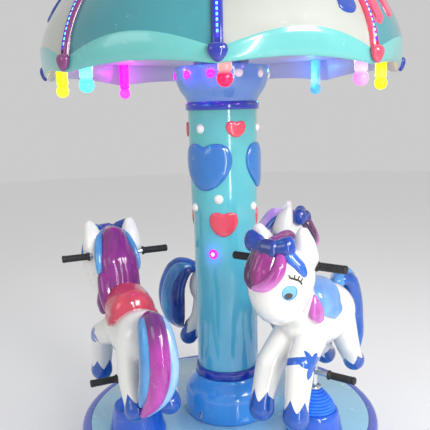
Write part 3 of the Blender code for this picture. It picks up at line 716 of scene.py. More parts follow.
# Ribs: a half-round moulding swept up each meridian, with a sunk channel for the light strip and a
# knob at its foot. Runs are (lowest lift, highest lift, stations); outlines are (across, out).
ribLook = {
    "run": (4, 84, 28), "stripRun": (7, 83, 24), "chipRun": (9, 82, 42), "chipOut": 0.0134,
    "chip": (0.006, 0.009, 0.0016), "knobReach": 0.7568, "knobHeight": 1.785, "knobFlat": 0.62,
    "half": [(0.019, -0.006), (0.019, 0.002), (0.0175, 0.008), (0.014, 0.013), (0.01, 0.0158),
             (0.007, 0.016), (0.0065, 0.011)],
    "stripHalf": [(0.0058, 0.0085), (0.0058, 0.0126), (0.004, 0.0134)],
    "knob": [(0, -0.03), (0.008, -0.0285), (0.016, -0.023), (0.024, -0.013), (0.03, -0.001),
             (0.0325, 0.008), (0.0315, 0.017), (0.027, 0.024), (0.018, 0.029), (0, 0.031)],
    "crown": [(0, 2.3), (0.1, 2.288), (0.104, 2.296), (0.103, 2.306), (0.096, 2.318),
              (0.085, 2.326), (0.06, 2.3298), (0, 2.3298)],
    "finial": [(0, 2.3303), (0.049, 2.3303), (0.05, 2.334), (0.044, 2.3385), (0.022, 2.342),
               (0.0165, 2.346), (0.021, 2.35), (0.027, 2.357), (0.031, 2.366), (0.0312, 2.372),
               (0.028, 2.381), (0.02, 2.389), (0.011, 2.394), (0.006, 2.397), (0, 2.4)],
}


# Straight out from the dome at an azimuth and a lift
def domeOut(azimuth, lift):
    out = around(azimuth, math.cos(lift) / canopy["rimRadius"], math.sin(lift) / canopy["height"])
    return out.normalized()


def meridian(azimuth, out, low, high, count):
    points = []
    for station in range(count):
        lift = math.radians(low + (high - low) * station / (count - 1))
        radius = canopy["rimRadius"] * math.cos(lift)
        height = canopy["centre"] + canopy["height"] * math.sin(lift)
        points.append(around(azimuth, radius, height) + domeOut(azimuth, lift) * out)
    return points


# The path's direction at one of its points
def pathWay(path, index):
    return (path[min(index + 1, len(path) - 1)] - path[max(index - 1, 0)]).normalized()


# Sweeps an outline, mirrored from its left half, up a path with new rings of points
def sweptBar(half, path, azimuth):
    outline = [(-across, out) for across, out in half] + half[::-1]
    side = around(azimuth + 90, 1, 0)
    deselectAll()
    bpy.ops.mesh.primitive_circle_add(vertices=len(outline), radius=1, fill_type="NGON")
    item = bpy.context.object
    shape = bmesh.new()
    shape.from_mesh(item.data)
    loop = list(shape.verts)
    for index, point in enumerate(path):
        out = side.cross(pathWay(path, index))
        if out.dot(point - Vector((0, 0, canopy["centre"] - canopy["hubDrop"]))) < 0:
            out.negate()
        places = [point + side * a + out * o for a, o in outline]
        if index == 0:
            for vertex, place in zip(loop, places):
                vertex.co = place
            continue
        level = [shape.verts.new(place) for place in places]
        for i in range(len(level)):
            j = (i + 1) % len(level)
            shape.faces.new((loop[i], loop[j], level[j], level[i]))
        loop = level
    shape.faces.new(loop)
    bmesh.ops.recalc_face_normals(shape, faces=shape.faces)
    shape.to_mesh(item.data)
    shape.free()
    return item


# Navy and coral ribs by turns, with every second coral rib in the plum painted shade
ribPaints = [ribNavy, ribCoral, ribNavy, ribCoralShade] * 2
strips, chips = [], []
for index, paint in enumerate(ribPaints):
    azimuth = canopy["firstRib"] + 45 * index
    bar = sweptBar(ribLook["half"], meridian(azimuth, 0, *ribLook["run"]), azimuth)
    knob = spinProfile(ribLook["knob"], 28)
    stand = standing(azimuth, ribLook["knobReach"], ribLook["knobHeight"])
    knob.matrix_world = stand @ Matrix.Diagonal((1, ribLook["knobFlat"], 1, 1))
    settle(knob)
    nodes = ["canopy_ribs"] if index == 0 else []
    finishPiece(joinAll([bar, knob]), f"canopyRib{index + 1}", paint, nodes, "rib_paint")
    stripPath = meridian(azimuth, 0, *ribLook["stripRun"])
    strips.append(sweptBar(ribLook["stripHalf"], stripPath, azimuth))
    chipPath = meridian(azimuth, ribLook["chipOut"], *ribLook["chipRun"])
    for chip, point in enumerate(chipPath):
        deselectAll()
        bpy.ops.mesh.primitive_cube_add(size=1, location=(0, 0, 0))
        along, side = pathWay(chipPath, chip), around(azimuth + 90, 1, 0)
        axes = Matrix((side, along, side.cross(along))).transposed().to_4x4()
        block = bpy.context.object
        size = Matrix.Diagonal((*ribLook["chip"], 1))
        block.matrix_world = Matrix.Translation(point) @ axes @ size
        chips.append(block)
finishPiece(joinAll(strips), "ribLightStrips", ledBlue, slot="rib_paint")
finishPiece(joinAll(chips), "ribLightChips", ledChip, slot="rib_paint")
spunPiece("canopyCrown", ribLook["crown"], 64, ribNavy, None, "rib_paint")
spunPiece("canopyFinial", ribLook["finial"], 48, coral, "canopy_finial", "coral_paint")
print("ribs, strips and crown made")

# Icing: a raised cap at the top of each panel, whose lower edge runs down in drips. Each drip is
# (azimuth, half its width in degrees, height of its tip).
icingLook = {"edge": 2.075, "wave": 0.022, "thick": 0.007, "round": 0.014, "tip": 0.02,
             "top": 2.296, "from": 1.3, "wide": 42.4, "columns": 84, "rows": 26, "wall": 0.006,
             "sunk": 0.0005, "waves": 16, "filletReach": 1.5, "filletPower": 6, "crowding": 1.6,
             "halvings": 24}
icingDrips = {
    0: [(35.2, 3.4, 1.915), (20.5, 3.2, 2.02), (6.5, 2.6, 2.035)],
    1: [(48.6, 2.2, 1.892), (57.6, 2.6, 1.926), (72.0, 3.0, 2.01), (82.0, 2.4, 1.96)],
    2: [(96.0, 3.0, 1.96), (113.0, 3.4, 1.925), (126.0, 2.4, 2.01)],
    3: [(141.0, 2.8, 2.0), (153.0, 3.2, 1.93), (170.0, 2.8, 1.975)],
    4: [(186.0, 3.2, 1.94), (203.0, 2.8, 2.015), (214.0, 3.0, 1.955)],
    5: [(230.0, 2.4, 1.905), (241.0, 2.8, 1.985), (258.0, 3.2, 1.935)],
    6: [(275.0, 2.8, 2.005), (288.3, 3.0, 1.961), (303.0, 2.6, 2.02)],
    7: [(322.0, 2.8, 2.03), (336.0, 3.4, 2.045), (349.0, 2.4, 2.035)],
}


def domeLift(azimuth, height):
    low, high = 0.0, math.radians(90)
    for turn in range(icingLook["halvings"]):
        middle = (low + high) / 2
        low, high = (middle, high) if domePoint(azimuth, middle)[1] < height else (low, middle)
    return low


def icingEdge(azimuth, drips):
    wave = math.sin(math.radians(azimuth * icingLook["waves"]))
    edge = icingLook["edge"] + icingLook["wave"] * wave
    reach, power = icingLook["filletReach"], icingLook["filletPower"]
    for centre, half, tip in drips:
        away = abs(azimuth - centre) / half
        if away < 1:
            edge = min(edge, tip + icingLook["tip"] * (1 - math.sqrt(1 - away * away)))
        elif away < reach:  # the fillet where the drip leaves the edge
            lean = (reach - away) / (reach - 1)
            edge = min(edge, edge - (edge - tip - icingLook["tip"]) * lean ** power)
    return edge


def icing(panel, drips):
    first = canopy["firstRib"] + 45 * panel + icingLook["from"]
    columns = icingLook["columns"]
    deselectAll()
    bpy.ops.mesh.primitive_grid_add(x_subdivisions=columns, y_subdivisions=icingLook["rows"],
                                    size=1, location=(0, 0, 0))
    item = bpy.context.object
    turns = [first + icingLook["wide"] * c / columns for c in range(columns + 1)]
    edges = [icingEdge(turn, drips) for turn in turns]
    rim = [around(turn, domePoint(turn, domeLift(turn, edge))[0], edge)
           for turn, edge in zip(turns, edges)]
    rim += [near.lerp(far, share) for near, far in zip(rim, rim[1:]) for share in (0.25, 0.5, 0.75)]
    for vertex in item.data.vertices:
        x, y, z = vertex.co
        column = round((x + 0.5) * columns)
        turn, edge = turns[column], edges[column]
        # The rows lie closer together near the drips
        height = edge + (icingLook["top"] - edge) * (y + 0.5) ** icingLook["crowding"]
        lift = domeLift(turn, height)
        radius = domePoint(turn, lift)[0]
        spot = around(turn, radius, height)
        away = min((spot - other).length for other in rim)
        away = min(away, radius * math.radians(min(turn - turns[0], turns[-1] - turn)))
        share = min(1, away / icingLook["round"])
        rise = icingLook["thick"] * math.sqrt(1 - (1 - share) ** 2) - icingLook["sunk"]
        vertex.co = spot + domeOut(turn, lift) * rise
    wall = item.modifiers.new("Wall", "SOLIDIFY")
    wall.thickness = icingLook["wall"]
    wall.offset = -1
    applySteps(item)
    onWholeMesh(item, bpy.ops.mesh.normals_make_consistent)
    return item


for panel, drips in icingDrips.items():
    finishPiece(icing(panel, drips), f"canopyIcing{panel + 1}",
                icingCoral if panel % 2 else icingBlue, slot="rib_paint", angle=60)
print("icing made")

# Lamps: a plastic holder and a globe, each its own colour, with the palest part at the lit neck.
# Colours are (holder, globe, neck).
lampColours = {
    "crimson": ("FF1450", "FF1048", "FFD0C0"), "pink": ("F088F8", "F27CF4", "FFE0F0"),
    "yellow": ("FFF800", "FFF400", "FFFF60"), "blue": ("5AAEFF", "4CA2FF", "A0D8FF"),
    "green": ("30F080", "30F080", "C0FFD8"), "magenta": ("FF10E8", "FF60E8", "FF10E0"),
    "lime": ("E4FF00", "ECFF40", "D0FF00"), "cyan": ("50F0E8", "60F0EA", "B0FFF8"),
}
lampLook = {
    "ring": 0.68, "glow": 0.85, "steps": 32, "shadeHeights": (1.684, 1.722, 1.737, 1.752, 1.775),
    "lightRing": 0.632, "lightHeight": 1.775, "lightPower": 0.5,
    "profile": [(0, 1.683), (0.009, 1.6842), (0.0165, 1.688), (0.0225, 1.6945), (0.0262, 1.703),
                (0.027, 1.711), (0.0255, 1.72), (0.0215, 1.728), (0.0185, 1.7325), (0.0205, 1.735),
                (0.0235, 1.738), (0.024, 1.742), (0.0228, 1.747), (0.0232, 1.752), (0.0232, 1.8),
                (0.024, 1.803), (0.024, 1.8497), (0, 1.8497)],
}
for index, (name, (holder, globe, neck)) in enumerate(lampColours.items()):
    spot = around(45 * index, lampLook["ring"], 0)
    lamp = spinProfile(lampLook["profile"], lampLook["steps"], (spot.x, spot.y))
    shades = list(zip(lampLook["shadeHeights"], (globe, globe, neck, neck, holder)))
    plastic = litPlastic(name + "LampPlastic", holder, lampLook["glow"], shades)
    finishPiece(lamp, name + "Lamp", plastic, [f"lamp_{index + 1}"], "lamp_" + name)
print("lamps made")


# Ponies. Everything is modelled once in the pony's own frame: +X forward, +Y its left, on its post.
posts = {"ring": 0.441, "angles": {"right": -36.5, "left": 203.5, "rear": 83.5},
         "lifts": {"right": 0.0275, "left": -0.0275, "rear": -0.0275}}


mouldLook = {"segments": 24, "rings": 14, "ease": 0.5}


# Balls at (x, y, z, radius) or (x, y, z, three radii) stations, each pair of them wrapped in one
# convex skin
def limb(stations):
    made = []
    for pair in zip(stations, stations[1:]):
        balls = []
        for x, y, z, *radii in pair:
            bpy.ops.mesh.primitive_uv_sphere_add(segments=mouldLook["segments"],
                                                 ring_count=mouldLook["rings"], radius=1,
                                                 location=(x, y, z))
            bpy.context.object.scale = radii if len(radii) == 3 else radii * 3
            balls.append(bpy.context.object)
        item = joinAll(balls)
        settle(item)
        onWholeMesh(item, bpy.ops.mesh.convex_hull)
        made.append(item)
    return made


# Melts overlapping forms into one smooth moulded body
def moulded(forms, voxel, rounding):
    item = joinAll(forms)
    melt = item.modifiers.new("Melt", "REMESH")
    melt.mode = "VOXEL"
    melt.voxel_size = voxel
    ease = item.modifiers.new("Ease", "SMOOTH")
    ease.factor = mouldLook["ease"]
    ease.iterations = rounding
    applySteps(item)
    return item


# A lock of hair through (x, y, z, radius) stations: a smooth line of balls, closer than their size
def lock(stations, deep=1.0, voxel=0.0045, rounding=5):
    line = smoothLine([s[:3] for s in stations], 3 * len(stations))
    wide = smoothLine([(s[3], 0, 0) for s in stations], 3 * len(stations))
    return moulded(limb([(*p, w.x * deep, w.x, w.x) for p, w in zip(line, wide)]), voxel, rounding)


combLook = {"waves": 22, "slant": 0.35, "slantFrom": 0.2, "crest": 0.8}


# Sculpted hair: shallow grooves run down the lock, swaying from side to side
def combed(item, spacing, depth, sway):
    moves = []
    for vertex in item.data.vertices:
        x, y, z = vertex.co
        slant = combLook["slant"] * (x - combLook["slantFrom"])
        across = (y + sway * math.sin(z * combLook["waves"]) + slant) / spacing
        groove = math.sqrt(abs(math.sin(math.pi * across))) - combLook["crest"]
        moves.append(vertex.normal * depth * groove)
    for vertex, move in zip(item.data.vertices, moves):
        vertex.co += move
    return item


body = limb([
    (0.095, 0, 0.738, 0.11, 0.096, 0.114), (-0.04, 0, 0.724, 0.11, 0.109, 0.11),
    (-0.13, 0, 0.738, 0.11, 0.114, 0.115)])
body += limb([(0.14, 0.004, 0.8, 0.074, 0.08, 0.086), (0.212, 0.006, 0.94, 0.08, 0.082, 0.088)])
body += limb([(0.29, 0.008, 0.983, 0.133, 0.131, 0.128), (0.29, 0.008, 0.928, 0.126, 0.11, 0.13)])
for side in (1, -1):
    ear = 0.008 + 0.086 * side
    body += limb([(0.252, ear, 1.05, 0.052, 0.048, 0.05), (0.264, ear, 1.1, 0.044, 0.042, 0.04),
                  (0.282, ear + 0.006 * side, 1.148, 0.021, 0.024, 0.022)])
    body += limb([(-0.138, 0.043 * side, 0.718, 0.068), (-0.172, 0.066 * side, 0.59, 0.052),
                  (-0.222, 0.068 * side, 0.51, 0.044), (-0.24, 0.069 * side, 0.487, 0.048)])
body += limb([
    (0.125, 0.042, 0.7, 0.07), (0.258, 0.074, 0.64, 0.055), (0.296, 0.077, 0.49, 0.046),
    (0.302, 0.078, 0.45, 0.051)])
body += limb([
    (0.125, -0.042, 0.7, 0.07), (0.225, -0.078, 0.6, 0.057), (0.278, -0.082, 0.48, 0.046),
    (0.285, -0.082, 0.436, 0.051)])
body = moulded(body, 0.0055, 14)

# The mane over the neck and poll, two thin bands beside it, and the side lock
mane = moulded(limb([
    (0.108, 0.014, 0.815, 0.062, 0.076, 0.062), (0.138, 0.012, 0.885, 0.07, 0.09, 0.072),
    (0.165, 0.009, 0.985, 0.07, 0.089, 0.08), (0.215, 0.01, 1.09, 0.056, 0.055, 0.054),
    (0.3, 0.006, 1.088, 0.044)]), 0.005, 8)
combed(mane, 0.036, 0.0045, 0.012)
bands = joinAll([
    lock([(0.262, 0.05, 1.112, 0.015), (0.214, 0.076, 1.092, 0.017), (0.172, 0.092, 1.048, 0.018),
          (0.146, 0.098, 0.99, 0.016), (0.142, 0.098, 0.95, 0.01)]),
    lock([(0.262, -0.034, 1.112, 0.013), (0.214, -0.052, 1.094, 0.014),
          (0.174, -0.068, 1.05, 0.014), (0.152, -0.08, 0.99, 0.012),
          (0.148, -0.08, 0.955, 0.007)])])
darkLock = lock([
    (0.13, 0.082, 0.935, 0.03), (0.105, 0.08, 0.88, 0.036), (0.086, 0.072, 0.822, 0.034),
    (0.078, 0.066, 0.775, 0.016)])
sideLock = moulded(limb([
    (0.17, 0.082, 0.878, 0.012, 0.014, 0.014), (0.164, 0.086, 0.85, 0.03, 0.022, 0.026),
    (0.158, 0.088, 0.818, 0.043, 0.026, 0.034), (0.14, 0.09, 0.792, 0.03, 0.02, 0.022)]), 0.004, 5)

# The forelock: a broad lock over the forehead with a narrow one rolled over its left edge
forelock = moulded(limb([
    (0.3, 0.006, 1.088, 0.046), (0.36, -0.004, 1.06, 0.046, 0.062, 0.046),
    (0.392, -0.002, 1.012, 0.036, 0.058, 0.044), (0.404, -0.004, 0.982, 0.026, 0.042, 0.03)]),
    0.004, 6)
combed(forelock, 0.03, 0.004, 0.006)
rolledLock = lock([
    (0.372, 0.06, 1.07, 0.02), (0.392, 0.066, 1.036, 0.025), (0.41, 0.052, 1.002, 0.025),
    (0.421, 0.022, 0.974, 0.021), (0.42, -0.02, 0.962, 0.012)])
# A third lock along the forelock's right edge, painted dark plum: painted shade on that side
shadedForelock = lock([
    (0.354, -0.046, 1.066, 0.026), (0.376, -0.054, 1.022, 0.03), (0.397, -0.048, 0.986, 0.026),
    (0.408, -0.036, 0.962, 0.012)])

# The tail: four locks lying side by side, curling in to the pony's left at the tip
tailRoot = (-0.222, 0.0, 0.836)
tailLocks = {
    "inner": [
        (*tailRoot, 0.026), (-0.276, 0.026, 0.836, 0.032), (-0.314, 0.036, 0.745, 0.033),
        (-0.322, 0.042, 0.65, 0.031), (-0.312, 0.056, 0.58, 0.024), (-0.296, 0.066, 0.53, 0.01)],
    "middle": [
        (*tailRoot, 0.032), (-0.29, -0.002, 0.844, 0.042), (-0.34, 0.0, 0.745, 0.044),
        (-0.346, 0.006, 0.645, 0.044), (-0.334, 0.026, 0.56, 0.034), (-0.3, 0.06, 0.49, 0.012)],
    "outer": [
        (*tailRoot, 0.026), (-0.286, -0.032, 0.834, 0.032), (-0.33, -0.044, 0.74, 0.034),
        (-0.34, -0.04, 0.64, 0.034), (-0.334, -0.008, 0.56, 0.027), (-0.308, 0.044, 0.494, 0.01)],
    "under": [
        (*tailRoot, 0.022), (-0.262, -0.036, 0.815, 0.028), (-0.296, -0.05, 0.74, 0.032),
        (-0.304, -0.046, 0.65, 0.034), (-0.304, -0.018, 0.56, 0.028), (-0.296, 0.03, 0.5, 0.01)],
}
tails = {name: lock(stations, 1.35) for name, stations in tailLocks.items()}

# The saddle: a padded seat with a V-shaped flap and a rolled piping all round its hem
saddleLook = {"hem": 0.755, "tip": 0.02, "rise": 0.45, "piping": 0.006}
saddle = moulded(
    limb([(-0.024, 0.004, 0.813, 0.062, 0.098, 0.098), (0.064, 0, 0.818, 0.078, 0.102, 0.102)])
    + limb([(-0.018, 0, 0.78, 0.08, 0.112, 0.07), (0.05, 0, 0.775, 0.08, 0.108, 0.07)]), 0.005, 8)
takeUp(saddle)
bpy.ops.object.mode_set(mode="EDIT")
for way in (1, -1):
    bpy.ops.mesh.select_all(action="SELECT")
    bpy.ops.mesh.bisect(plane_co=(saddleLook["tip"], 0, saddleLook["hem"]),
                        plane_no=(way * saddleLook["rise"], 0, 1), clear_inner=True, use_fill=True)
bpy.ops.object.mode_set(mode="OBJECT")
bevelEdges(saddle, saddleLook["piping"], 3, 50)

# The bow: a loop at each side, a broad band between them, and a flat ribbon down the left temple
bow = limb([(0.346, -0.05, 1.106, 0.03, 0.03, 0.036), (0.336, -0.082, 1.112, 0.034, 0.026, 0.042)])
bow += limb([(0.352, 0.05, 1.1, 0.03, 0.028, 0.034), (0.346, 0.078, 1.104, 0.034, 0.024, 0.042)])
bow += limb([
    (0.358, -0.046, 1.098, 0.022, 0.02, 0.03), (0.366, 0.01, 1.096, 0.026, 0.03, 0.036),
    (0.356, 0.05, 1.096, 0.022, 0.02, 0.032)])
knot = limb([(0.372, -0.01, 1.094, 0.026, 0.022, 0.04), (0.37, 0.03, 1.092, 0.026, 0.022, 0.04)])
bow = moulded(bow, 0.0035, 4)
knot = moulded(knot, 0.0035, 5)
ribbon = moulded(limb([
    (0.352, 0.062, 1.096, 0.026, 0.02, 0.024), (0.346, 0.092, 1.066, 0.026, 0.015, 0.024),
    (0.331, 0.118, 1.034, 0.025, 0.013, 0.023), (0.324, 0.128, 1.012, 0.016, 0.009, 0.014)]),
    0.003, 3)
print("pony forms moulded")


# Tubes from side to side, as (forward, height, half length), and the grips on their ends, as
# (inner end, outer end)
tubeLook = {"radius": 0.011, "hand": (0.222, 1.017, 0.128), "foot": (0.0225, 0.513, 0.081)}
gripLook = {"hand": (0.122, 0.24), "foot": (0.075, 0.19), "ribs": 9, "valley": 0.0136,
            "crest": 0.0156, "flange": [(0, 0), (0.0195, 0), (0.0195, 0.005), (0.0162, 0.0075),
                                        (0.015, 0.016)],
            "firstRib": 0.018, "lastRib": 0.014, "ribShares": (0.2, 0.7, 0.9),
            "end": [(0.0158, 0.012), (0.0158, 0.003), (0.014, 0), (0, 0)]}


def crossTube(kind):
    forward, height, half = tubeLook[kind]
    deselectAll()
    bpy.ops.mesh.primitive_cylinder_add(vertices=24, radius=tubeLook["radius"], depth=2 * half,
                                        location=(forward, 0, height), rotation=(math.pi / 2, 0, 0))
    item = bpy.context.object
    settle(item)
    return item


# Grips are flanged at the inner end, ribbed along the middle and rounded at the outer end
def gripPair(kind):
    inner, outer = gripLook[kind]
    long = outer - inner
    profile = list(gripLook["flange"])
    valley, crest = gripLook["valley"], gripLook["crest"]
    first, last = gripLook["firstRib"], long - gripLook["lastRib"]
    rise, fall, foot = gripLook["ribShares"]
    wide = (last - first) / gripLook["ribs"]
    for rib in range(gripLook["ribs"]):
        at = first + (last - first) * rib / gripLook["ribs"]
        profile += [(valley, at), (crest, at + wide * rise), (crest, at + wide * fall),
                    (valley, at + wide * foot)]
    profile += [(radius, long - back) for radius, back in gripLook["end"]]
    sides = []
    for side in (1, -1):
        item = spinProfile(profile, 24)
        place = Matrix.Translation((tubeLook[kind][0], inner * side, tubeLook[kind][1]))
        item.matrix_world = place @ Matrix.Rotation(-math.pi / 2 * side, 4, "X")
        settle(item)
        sides.append(item)
    return joinAll(sides)


handTube, handGrips = crossTube("hand"), gripPair("hand")
footTube, footGrips = crossTube("foot"), gripPair("foot")
rod = spinProfile([
    (0, 0.2785), (0.0125, 0.2785), (0.0125, 0.4303), (0.0265, 0.4303), (0.028, 0.432),
    (0.028, 0.442), (0.0265, 0.4445), (0.016, 0.447), (0.0125, 0.4485), (0.0125, 0.64),
    (0, 0.64)], 32)
postTube = joinAll([rod, footTube])
print("tubes and grips made")


def ponyPlace(tree):  # the place in the pony's own frame, kept on each point of its mesh
    return addNode(tree, "ShaderNodeAttribute", {"attribute_name": "ponyPlace"}).outputs["Vector"]


# A painted oval: 1 inside an ellipsoid round a place
def blot(tree, place, centre, radii):
    away = vectorCalc(tree, "SUBTRACT", place, centre)
    size = vectorCalc(tree, "LENGTH", vectorCalc(tree, "DIVIDE", away, radii))
    return calc(tree, "LESS_THAN", size, 1.0)


# A brush stroke: 1 within half its width of a line from start to end
def stroke(tree, place, start, end, halfWide):
    along = end - start
    away = vectorCalc(tree, "SUBTRACT", place, start)
    share = calc(tree, "MULTIPLY", vectorCalc(tree, "DOT_PRODUCT", away, along),
                 1 / along.length_squared)
    share.node.use_clamp = True
    foot = addNode(tree, "ShaderNodeVectorMath", {"operation": "SCALE"}, {0: along},
                   {"Scale": share})
    rest = vectorCalc(tree, "LENGTH", vectorCalc(tree, "SUBTRACT", away, foot.outputs[0]))
    return calc(tree, "LESS_THAN", rest, halfWide)


# Angle in turns round an axis, the height along it and the reach from the axis's foot
def roundAxis(tree, place, foot, axis):
    axis = Vector(axis).normalized()
    across = axis.cross(Vector((0, 1, 0))).normalized()
    away = vectorCalc(tree, "SUBTRACT", place, foot)
    sides = [vectorCalc(tree, "DOT_PRODUCT", away, line) for line in (across, axis.cross(across))]
    turn = calc(tree, "DIVIDE", calc(tree, "ARCTAN2", sides[1], sides[0]), math.tau)
    return turn, vectorCalc(tree, "DOT_PRODUCT", away, axis), vectorCalc(tree, "LENGTH", away)


# Five star points round an axis, from 0 between them to 0.5 at their tips
def starTeeth(tree, turn, phase):
    return calc(tree, "PINGPONG", calc(tree, "MULTIPLY_ADD", turn, 5, phase), 0.5)


# Hoof paint with a cut star edge: (foot, axis, phase of the points) for each hoof. The cuff is a
# band with a star on the left foreleg.
hoofLook = {
    "foreLeft": ((0.298, 0.077, 0.484), (-0.2, 0, 0.98), 0.05),
    "foreRight": ((0.281, -0.082, 0.474), (-0.3, 0, 0.95), 0.3),
    "hindLeft": ((-0.222, 0.068, 0.508), (0.5, 0, 0.86), 0.1),
    "hindRight": ((-0.222, -0.068, 0.508), (0.5, 0, 0.86), 0.1),
}
cuffLook = {"band": ((0.262, 0.074, 0.655), (-0.35, -0.3, 0.9)), "bandHalf": 0.0135,
            "bandReach": 0.085, "star": ((0.262, 0.128, 0.655), (0.25, 0.95, -0.1)),
            "starPhase": 0.2, "starReach": 0.06, "starDepth": 0.068}
hoofEdge = {"power": 1.3, "tall": 0.044, "foot": -0.006, "reach": 0.12}
thighOvalLook = {"centre": (-0.128, 0.06, 0.625), "radii": (0.016, 0.03, 0.01)}
ponyColours = {"skin": "E8E7E2", "hoof": "1450AE", "cuff": "205CBE", "irisRim": "4A8CC6",
               "iris": "70B4E2", "pupil": "302E2B", "glint": "9A9890", "brow": "3A362C",
               "lash": "403C30", "thighOval": "242426"}
faceLook = {
    "middle": 0.008, "head": (0.29, 0.008, 0.955), "eye": (0.38, 0.102, 0.95), "eyeRadius": 0.03,
    "pupil": (0.381, 0.097, 0.9395), "pupilRadii": (0.016, 0.016, 0.0125), "browHalf": 0.028,
    "irisShift": (0.002, 0.001, 0.002), "irisShare": 0.88, "glintShift": (0.0, 0.006, 0.006),
    "glintRadius": 0.0035,
    "brow": [(0.3836, 0.0989, 1.0164), (0.381, 0.1042, 1.0076), (0.3689, 0.1141, 1.0017),
             (0.3561, 0.1227, 0.9954), (0.3469, 0.1274, 0.9868), (0.3429, 0.1291, 0.9798)],
    "lashes": [((0.3689, 0.1141, 1.0019), (0.3657, 0.114, 1.0135)),
               ((0.3583, 0.1212, 0.9968), (0.3508, 0.1237, 1.0085)),
               ((0.3476, 0.127, 0.9887), (0.3389, 0.1298, 0.9985))], "lashHalf": 0.022,
}


def ponyPaint(tree):
    place = ponyPlace(tree)
    colour = plainColour(tree, ponyColours["skin"])
    for foot, axis, phase in hoofLook.values():
        turn, height, reach = roundAxis(tree, place, foot, axis)
        teeth = calc(tree, "MULTIPLY", starTeeth(tree, turn, phase), 2)
        tips = calc(tree, "POWER", teeth, hoofEdge["power"])
        edge = calc(tree, "MULTIPLY_ADD", tips, hoofEdge["tall"], hoofEdge["foot"])
        mask = calc(tree, "MULTIPLY", calc(tree, "LESS_THAN", height, edge),
                    calc(tree, "LESS_THAN", reach, hoofEdge["reach"]))
        colour = layer(tree, colour, mask, ponyColours["hoof"])
    turn, height, reach = roundAxis(tree, place, *cuffLook["band"])
    near = calc(tree, "LESS_THAN", calc(tree, "ABSOLUTE", height), cuffLook["bandHalf"])
    band = calc(tree, "MULTIPLY", near, calc(tree, "LESS_THAN", reach, cuffLook["bandReach"]))
    colour = layer(tree, colour, band, ponyColours["cuff"])
    turn, height, reach = roundAxis(tree, place, *cuffLook["star"])
    star = calc(tree, "MULTIPLY_ADD", starTeeth(tree, turn, cuffLook["starPhase"]),
                -cuffLook["starDepth"], cuffLook["starReach"])
    colour = layer(tree, colour, calc(tree, "LESS_THAN", reach, star), ponyColours["cuff"])
    x, y, z = axisParts(tree, place)
    side = calc(tree, "ABSOLUTE", calc(tree, "SUBTRACT", y, faceLook["middle"]))
    side = calc(tree, "ADD", side, faceLook["middle"])  # both sides of the face are alike
    face = addNode(tree, "ShaderNodeCombineXYZ", None, None, {0: x, 1: side, 2: z}).outputs[0]
    eye, pupil, radius = Vector(faceLook["eye"]), Vector(faceLook["pupil"]), faceLook["eyeRadius"]
    iris, glint = eye + Vector(faceLook["irisShift"]), pupil + Vector(faceLook["glintShift"])
    for centre, radii, code in ((eye, (radius,) * 3, "irisRim"),
                                (iris, (radius * faceLook["irisShare"],) * 3, "iris"),
                                (pupil, faceLook["pupilRadii"], "pupil"),
                                (glint, (faceLook["glintRadius"],) * 3, "glint")):
        colour = layer(tree, colour, blot(tree, face, centre, radii), ponyColours[code])
    # The lashes are drawn by direction from the middle of the head, so they stay on the skin
    middle = Vector(faceLook["head"])
    sight = vectorCalc(tree, "NORMALIZE", vectorCalc(tree, "SUBTRACT", face, middle))
    brow = faceLook["brow"]
    for lines, half, code in ((zip(brow, brow[1:]), faceLook["browHalf"], "brow"),
                              (faceLook["lashes"], faceLook["lashHalf"], "lash")):
        for ends in lines:
            start, end = [(Vector(point) - middle).normalized() for point in ends]
            colour = layer(tree, colour, stroke(tree, sight, start, end, half), ponyColours[code])
    # A small dark oval painted on the inner thigh
    thighOval = blot(tree, place, thighOvalLook["centre"], thighOvalLook["radii"])
    return layer(tree, colour, thighOval, ponyColours["thighOval"])


# Hair paint: streaks of painted shade between strands that run down the lock, painted highlight on
# the crests, and fine white specks, about 1.5 mm across, that fell into the wet colour
hairLook = {"roughness": 0.12, "waveMm": 38.0, "waveDepthMm": 1.6}
strandLook = {"spread": (26.0, 26.0, 6.0), "range": (0.25, 0.75), "specks": 62.0, "speckSize": 0.05,
              "speckColour": "D8E0F0"}


def hairPaint(name, light, dark, sweep=None):
    def paint(tree):
        place = ponyPlace(tree)
        strands = noise(tree, vectorCalc(tree, "MULTIPLY", place, strandLook["spread"]), 1.0)
        # painted shade and painted highlight in streaks down the lock
        colour = ramp(tree, strands, list(zip(strandLook["range"], (dark, light))))
        if sweep:  # another colour from `start` to `end` along one axis of the pony
            axis, start, end, code = sweep
            share = mapRange(tree, axisParts(tree, place)[axis], start, end)
            colour = layer(tree, colour, share, code)
        cells = addNode(tree, "ShaderNodeTexVoronoi", None, {"Scale": strandLook["specks"]},
                        {"Vector": place}).outputs["Distance"]
        speck = calc(tree, "LESS_THAN", cells, strandLook["speckSize"])
        return layer(tree, colour, speck, strandLook["speckColour"])
    return gelcoat(name, paint, **hairLook)


whitePaint = gelcoat("ponyPaintedGelcoat", ponyPaint, mottle=0.03, waveDepthMm=0.7)
plumHair = hairPaint("plumHairPaint", "8E2288", "701A6C")
# The forelock paint runs darker towards the pony's right side: painted shade
forelockShadedHair = hairPaint("forelockShadedHairPaint", "AE3496", "8A2478", (1, 0.005, -0.05, "4E1648"))
rolledHair = hairPaint("rolledHairPaint", "B84AA8", "96308A", (2, 1.01, 0.965, "D880CC"))
sideHair = hairPaint("sideLockHairPaint", "CC6AC4", "B04CA8")
tailHair = hairPaint("magentaTailPaint", "BE3EB0", "A02E96", (2, 0.76, 0.85, "6A2474"))
# Dark plum for the forelock's right lock: painted shade
shadedPlumHair = hairPaint("shadedPlumHairPaint", "4A1E58", "2A1440")
